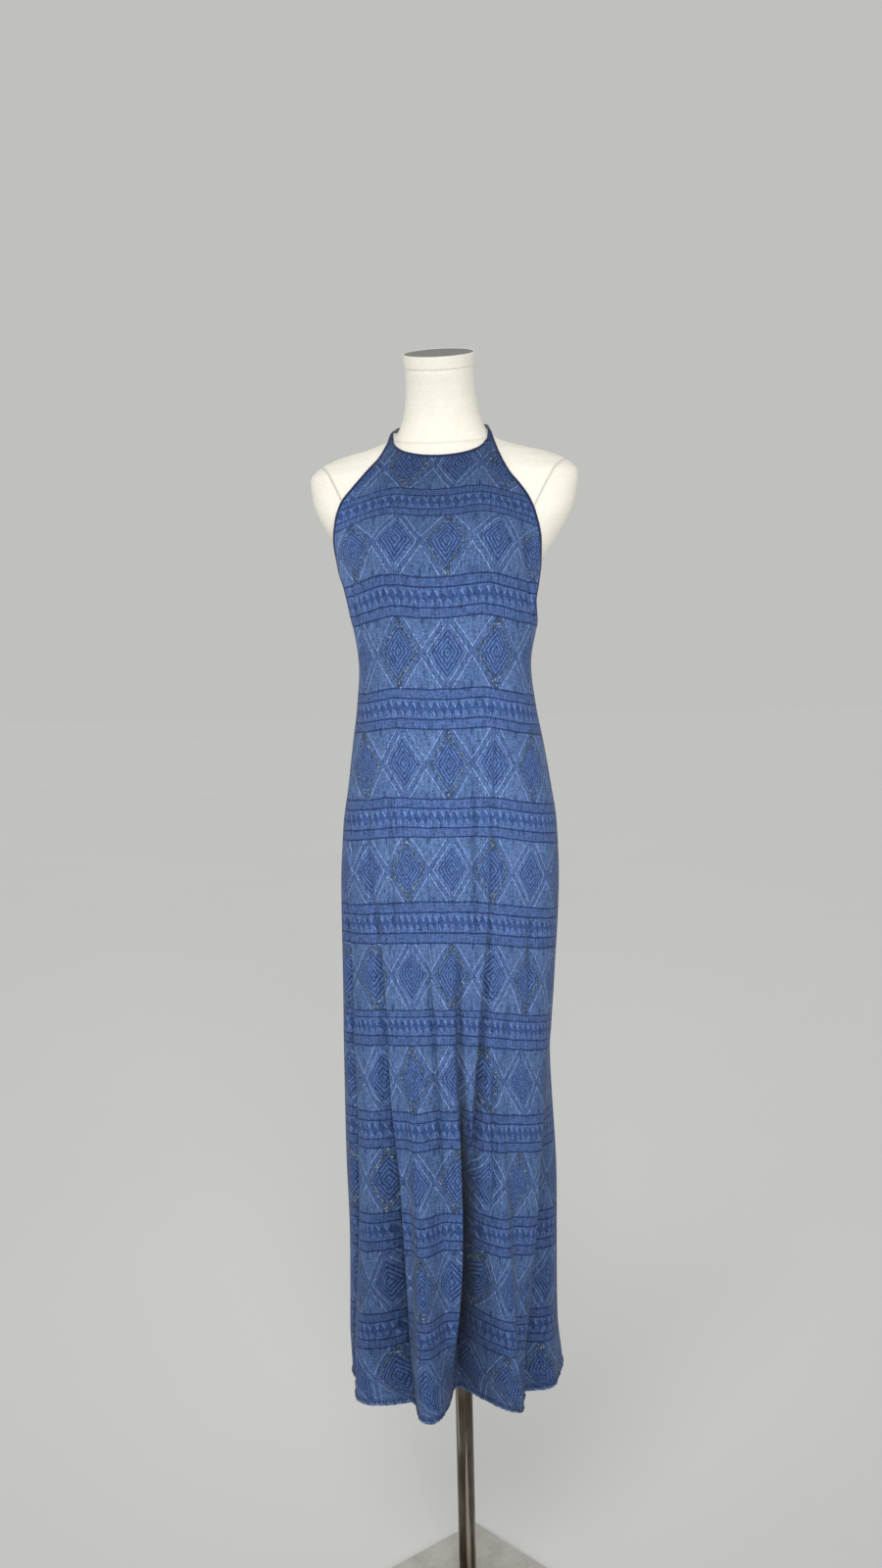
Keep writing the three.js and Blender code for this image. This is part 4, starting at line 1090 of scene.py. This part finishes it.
    # Painted shade: cloth that lies deep in a fold or a crease is darkened in its colour, as little light
    # reaches it there.
    fold = flat.node("Attribute", {"attribute_name": "fold_depth"}, {}, "Fac")
    painted_light_and_shade = painted_light_and_shade * (1 - fold.rise(*FOLD_SHADE["shallow"]) * 0.22 - fold.rise(*FOLD_SHADE["deep"]) * 0.5)
    threads = painted_light_and_shade * (1 + (warp - 0.5) * 1.9 + (weft - 0.5) * 1.2 + (specks - 0.5) * 2.6)
    colour = colour.node("VectorMath", {"operation": "SCALE"}, {0: colour, "Scale": threads})
    colour = (bead * 0.85).mix(colour, bead_shade)
    relief = warp * 0.3 + weft * 0.2 + specks * 0.25 + pale_line * 0.3 + tooth * 0.15
    relief = relief + cord * 0.35 + ringed * ring_wave * 0.15 + bead * 0.5
    feed(shader, Base_Color=colour, Roughness=0.9 - bead * 0.5, Height=relief)
    return material


jacquard = new_jacquard("denim_jacquard")
front_turns, front_levels = front_places()
back_turns, back_levels = back_places()
sewn = len(skirt_levels)
front_panel = new_piece(
    "front_panel",
    panel_mesh("front_panel", front_turns, front_levels, False, sewn),
    jacquard, "denim_jacquard", "dress_front",
)
back_panel = new_piece(
    "back_panel",
    panel_mesh("back_panel", back_turns, back_levels, True, sewn),
    jacquard, "denim_jacquard", "dress_back",
)


# ---- Bound edges and neck strap ----
# Narrow navy tapes, folded over the raw edges of the armholes, the back and the neck, and sewn
# down. The neck's tape runs on past both corners as the strap, and laps and buttons behind.
TAPE = {"near": -1.0, "far": 3.1, "thick": 2.6, "around": 14, "squareness": 0.7, "end": 0.6}
STRAP = {
    "far": 6.5, "nape_behind": 53, "nape_level": 1708, "swing": 0.75, "climb": 0.6, "face_run": 0.33,
    "steps": 70, "widening": 20,
}
LAP = {"length": 0.16, "step": 2.8, "run": 0.35}
# How many of the back's columns at each side seam its tape leaves free.
BACK_TAPE_INSET = 3


def squared(share):
    """A sine or cosine with its curve pushed out, so that it draws a rounded square."""
    return np.sign(share) * np.abs(share) ** TAPE["squareness"]


def tape_mesh(name, points, normals, far=TAPE["far"]):
    """A soft flat tape along an edge, with the cloth on its right as it runs."""
    along = np.gradient(points, axis=0)
    away = np.cross(normals, along)
    away /= np.linalg.norm(away, axis=1, keepdims=True)
    far = np.broadcast_to(far, len(points))[:, None, None]
    around = np.linspace(0, 2 * math.pi, TAPE["around"], endpoint=False)[None, :, None]
    core = points - normals * (CLOTH / 2)
    reach = (TAPE["near"] + far) / 2 + (far - TAPE["near"]) / 2 * squared(np.cos(around))
    lift = TAPE["thick"] / 2 * squared(np.sin(around))
    rings = core[:, None] + away[:, None] * reach + normals[:, None] * lift
    # The ends are folded under and close softly.
    for end in (0, -1):
        middle = rings[end].mean(axis=0)
        rings[end] = middle + (rings[end] - middle) * TAPE["end"]
    return stack_mesh(name, rings)


def strap_side(corner, normal, on_top):
    """The strap's points from a corner of the front to its end behind the neck."""
    side = np.sign(corner[0])
    share = np.arange(1, STRAP["steps"] + 1)[:, None] / STRAP["steps"] * (1 + LAP["length"])
    turn = share * math.pi / 2
    behind = np.sin(turn)
    out = np.concatenate([side * np.cos(turn), behind, 0 * turn], axis=1)
    step = LAP["step"] * smooth((share - 1 + LAP["run"]) / LAP["run"]) if on_top else 0 * share
    x = corner[0] * np.cos(turn)
    y = corner[1] + (STRAP["nape_behind"] - corner[1]) * behind ** STRAP["swing"]
    z = corner[2] + (STRAP["nape_level"] - corner[2]) * behind ** STRAP["climb"]
    facing = normal + (out - normal) * smooth(share / STRAP["face_run"])
    facing /= np.linalg.norm(facing, axis=1, keepdims=True)
    return np.concatenate([x, y, z], axis=1) + out * step, facing


navy, navy_shader, navy_place = new_finish(
    "navy_tape", Specular_IOR_Level=0.2, Sheen_Weight=0.25, Sheen_Roughness=0.5
)
navy_threads = navy_place.noise(1100.0, 2.0, 0.7)
navy_clouds = navy_place.noise(90.0, 3.0, 0.6)
navy_colour = navy_clouds.rise(0.3, 0.7).mix(seen(20, 31, 62), seen(34, 49, 88))
feed(
    navy_shader,
    Base_Color=navy_threads.rise(0.6, 0.8).mix(navy_colour, seen(44, 61, 102)),
    Roughness=0.8 + navy_threads * 0.15,
    Height=navy_threads * 0.5,
)

front_points, front_normals = station(front_turns, front_levels)
back_points, back_normals = station(back_turns, back_levels)
# The left tape runs up its armhole and the right one down, so that both have the cloth on their right.
for name, side, run in (("left", 0, 1), ("right", -1, -1)):
    edge_points, edge_normals = front_points[sewn:, side][::run], front_normals[sewn:, side][::run]
    tape = tape_mesh("armhole_tape_" + name, edge_points, edge_normals)
    new_piece("armhole_tape_" + name, tape, navy, "navy_binding", "armhole_binding_" + name)

inset = slice(BACK_TAPE_INSET, -BACK_TAPE_INSET)
back_tape_mesh = tape_mesh("back_tape", back_points[-1, inset], back_normals[-1, inset])
back_tape = new_piece("back_tape", back_tape_mesh, navy, "navy_binding", "back_edge_binding")

neck_points, neck_normals = front_points[-1], front_normals[-1]
left_points, left_facing = strap_side(neck_points[0], neck_normals[0], False)
right_points, right_facing = strap_side(neck_points[-1], neck_normals[-1], True)
tape_points = np.concatenate([left_points[::-1], neck_points, right_points])
tape_normals = np.concatenate([left_facing[::-1], neck_normals, right_facing])
from_middle = np.abs(np.arange(len(tape_points)) - (len(tape_points) - 1) / 2)
widened = smooth((from_middle - len(neck_points) / 2) / STRAP["widening"])
tape_far = TAPE["far"] + (STRAP["far"] - TAPE["far"]) * widened
neck_tape_mesh = tape_mesh("neck_tape", tape_points, tape_normals, tape_far)
neck_tape = new_piece("neck_tape", neck_tape_mesh, navy, "navy_binding", "neck_binding")


# ---- Hem stitches ----
# A row of dark blue running stitches that holds the turned-up hem, all round both panels. Each
# stitch is a short length of twisted thread that dips into the cloth at both ends.
STITCH = {
    "above": 5.5, "length": 3.4, "pitch": 4.8, "radius": 0.8, "lift": 0.75, "end": 0.45,
    "from_seam": 3, "steps": 5, "around": 6,
}
RUN_SAMPLES = 2000


def rod_rings(spine, first, second, radii, around):
    """Rings round a spine of points, in the plane of two directions, each with its own radius."""
    turns = np.linspace(0, 2 * math.pi, around, endpoint=False)[None, :, None]
    ring = first[:, None] * np.cos(turns) + second[:, None] * np.sin(turns)
    return spine[:, None] + ring * radii[:, None, None]


def stitch_mesh(name, start, stop):
    """Stitches in a level line round a panel, between two directions."""
    level = HEM_LEVEL + STITCH["above"]
    fine = np.linspace(start, stop, RUN_SAMPLES)
    runs = run_at(fine, np.full(len(fine), level))
    shares = np.linspace(0, 1, STITCH["steps"])
    bow = np.sin(math.pi * shares)
    radii = STITCH["radius"] * (STITCH["end"] + (1 - STITCH["end"]) * bow)
    lift = HEM_TURN["thick"] / 2 + STITCH["lift"] * STITCH["radius"] * bow
    down = np.tile((0, 0, -1.0), (STITCH["steps"], 1))
    first = runs[0] + STITCH["from_seam"]
    last = runs[-1] - STITCH["length"] - STITCH["from_seam"]
    rods = []
    for begin in np.arange(first, last, STITCH["pitch"]):
        turns = np.interp(begin + STITCH["length"] * shares, runs, fine)
        spine, normal = station(turns, np.full(STITCH["steps"], level))
        rods.append(rod_rings(spine + normal * lift[:, None], normal, down, radii, STITCH["around"]))
    return stack_mesh(name, *rods)


thread, thread_shader, thread_place = new_finish("hem_thread", Specular_IOR_Level=0.3)
twist = thread_place.noise(2400.0, 2.0)
feed(
    thread_shader,
    Base_Color=twist.rise(0.35, 0.7).mix(seen(24, 34, 66), seen(46, 62, 104)),
    Roughness=0.6 + twist * 0.3,
)
for name, turns in (("front", front_turns), ("back", back_turns)):
    mesh = stitch_mesh("hem_stitches_" + name, turns[0, 0], turns[0, -1])
    new_piece("hem_stitches_" + name, mesh, thread, "navy_button")


# ---- Nape button ----
# A small navy four-hole button with a raised rim, moulded of resin. It holds the strap's lapped
# ends behind the neck, and is sewn on with two bars of thread.
BUTTON = {
    "radius": 5.0, "thick": 2.4, "rim": 1.3, "rim_slope": 0.5, "dish": 0.8, "ease": 0.45, "core": 0.2,
    "hole": 0.7, "hole_out": 1.25, "around": 64, "above": 3.0, "pressed": 0.1,
}
DRILL = {"length": 8, "middle": 1, "around": 16}
BAR = {"radius": 0.32, "low": 1.3, "bow": 0.95, "steps": 9, "around": 8}
resin, resin_shader, resin_place = new_finish("navy_resin", Coat_Weight=0.3, Coat_Roughness=0.2)
marbling = resin_place.noise(420.0, 3.0, 0.6)
feed(
    resin_shader,
    Base_Color=marbling.rise(0.3, 0.7).mix(seen(24, 34, 62), seen(44, 58, 96)),
    Roughness=0.3 + marbling * 0.12,
)


def at_nape(mesh):
    """Sets a mesh made flat and face up on the strap's lapped ends, facing back."""
    face = STRAP["nape_behind"] + LAP["step"] + (TAPE["thick"] - CLOTH) / 2 + SEAM_GAP
    place = Vector((0, face - BUTTON["pressed"], STRAP["nape_level"] + BUTTON["above"])) * MM
    mesh.transform(Matrix.Translation(place) @ Matrix.Rotation(-math.pi / 2, 4, "X"))
    return mesh


rim_inside = BUTTON["radius"] - BUTTON["rim"]
dish_top = BUTTON["thick"] - BUTTON["dish"]
blank_corners = [
    (BUTTON["core"], 0.0),
    (BUTTON["radius"], 0.0),
    (BUTTON["radius"], BUTTON["thick"]),
    (rim_inside, BUTTON["thick"]),
    (rim_inside - BUTTON["rim_slope"], dish_top),
    (BUTTON["core"], dish_top),
]
blank = new_object("blank", turned_mesh("blank", eased(blank_corners, BUTTON["ease"]), BUTTON["around"]))
drill_mesh = bmesh.new()
for side_x, side_y in ((-1, -1), (-1, 1), (1, -1), (1, 1)):
    hole = Vector((side_x * BUTTON["hole_out"], side_y * BUTTON["hole_out"], DRILL["middle"])) * MM
    bmesh.ops.create_cone(
        drill_mesh, cap_ends=True, segments=DRILL["around"], radius1=BUTTON["hole"] * MM,
        radius2=BUTTON["hole"] * MM, depth=DRILL["length"] * MM, matrix=Matrix.Translation(hole),
    )
drill_data = bpy.data.meshes.new("drill")
drill_mesh.to_mesh(drill_data)
drill_mesh.free()
drill = new_object("drill", drill_data)
drilled = cut(blank, drill, "DIFFERENCE")
button = new_piece("strap_button", at_nape(drilled), resin, "navy_button", "nape_button")
for used in (blank, drill):
    bpy.data.objects.remove(used)

bar_shares = np.linspace(0, 1, BAR["steps"])
bar_bow = np.sin(math.pi * bar_shares) ** 0.5
aside, upright = (np.tile(way, (BAR["steps"], 1)) for way in ((0, 1.0, 0), (0, 0, 1.0)))
bar_rods = []
for side in (-1, 1):
    spine = np.stack([
        BUTTON["hole_out"] * (2 * bar_shares - 1),
        np.full(BAR["steps"], side * BUTTON["hole_out"]),
        BUTTON["thick"] - BAR["low"] + BAR["bow"] * bar_bow,
    ], axis=1)
    radii = np.full(BAR["steps"], BAR["radius"])
    bar_rods.append(rod_rings(spine, aside, upright, radii, BAR["around"]))
bar_mesh = at_nape(stack_mesh("button_thread", *bar_rods))
bars = new_piece("button_thread", bar_mesh, thread, "navy_button")


# ---- Floor, light and camera ----
# A wide pale floor under a pale studio sky. A soft box stands in front at chest height, a little to
# the right, and a wide, weak sun shines down on the object from high in front.
FLOOR_REACH = 60.0
floor_corners = [(x * FLOOR_REACH, y * FLOOR_REACH, 0) for x, y in ((-1, -1), (1, -1), (1, 1), (-1, 1))]
floor_mesh = bpy.data.meshes.new("floor")
floor_mesh.from_pydata(floor_corners, [], [(0, 1, 2, 3)])
paint, paint_shader, paint_place = new_finish("pale_floor", Specular_IOR_Level=0.1)
sweep = paint_place.noise(0.8, 2.0)
feed(
    paint_shader,
    Base_Color=sweep.mix(seen(235, 235, 234), seen(239, 239, 238)),
    Roughness=0.8 + sweep * 0.1,
)
floor_mesh.materials.append(paint)
new_object("floor", floor_mesh)

world = bpy.data.worlds.new("studio_sky")
world.use_nodes = True
# The room is pale behind the object, brighter on the left and dimmer in front of it.
towards = Wire(world.node_tree.nodes.new("ShaderNodeTexCoord").outputs["Generated"])
room = towards.axis("Y").rise(-0.5, 0.4).mix(seen(146, 146, 145), seen(192, 192, 190))
room = towards.axis("X").rise(-0.35, -1.0).mix(room, seen(236, 236, 234))
feed(world.node_tree.nodes["Background"], Color=room)
scene = bpy.context.scene
scene.world = world
scene.view_settings.view_transform = "Standard"


def aimed_light(name, kind, place, aim, **settings):
    """A light at a place, turned to what it lights."""
    data = bpy.data.lights.new(name, kind)
    for key, value in settings.items():
        setattr(data, key, value)
    made = new_object(name, data)
    made.location = place
    made.rotation_euler = (Vector(aim) - Vector(place)).to_track_quat("-Z", "Y").to_euler()


aimed_light(
    "front_box", "AREA", (0.35, -2.5, 1.35), (0, 0, 1.12),
    shape="SQUARE", size=0.9, energy=6.0, spread=math.radians(50),
)
aimed_light("high_sun", "SUN", (-0.4, -3.6, 4.2), (0, 0, 1.0), energy=0.8, angle=math.radians(35))

# The camera stands at chest height. Angles are in degrees, and focal is a share of the view's height.
CAMERA = {"place": (0.1707, -1.9837, 1.350), "heading": 5.3, "down": 4.0, "roll": 1.3, "focal": 1450 / 1600}
camera_data = bpy.data.cameras.new("camera")
camera_data.sensor_width = 36.0
camera_data.lens = CAMERA["focal"] * camera_data.sensor_width
camera = new_object("camera", camera_data)
camera.location = CAMERA["place"]
aimed = Euler((math.radians(90 - CAMERA["down"]), 0, math.radians(CAMERA["heading"]))).to_matrix()
camera.rotation_euler = (aimed @ Matrix.Rotation(math.radians(-CAMERA["roll"]), 3, "Z")).to_euler()
scene.camera = camera
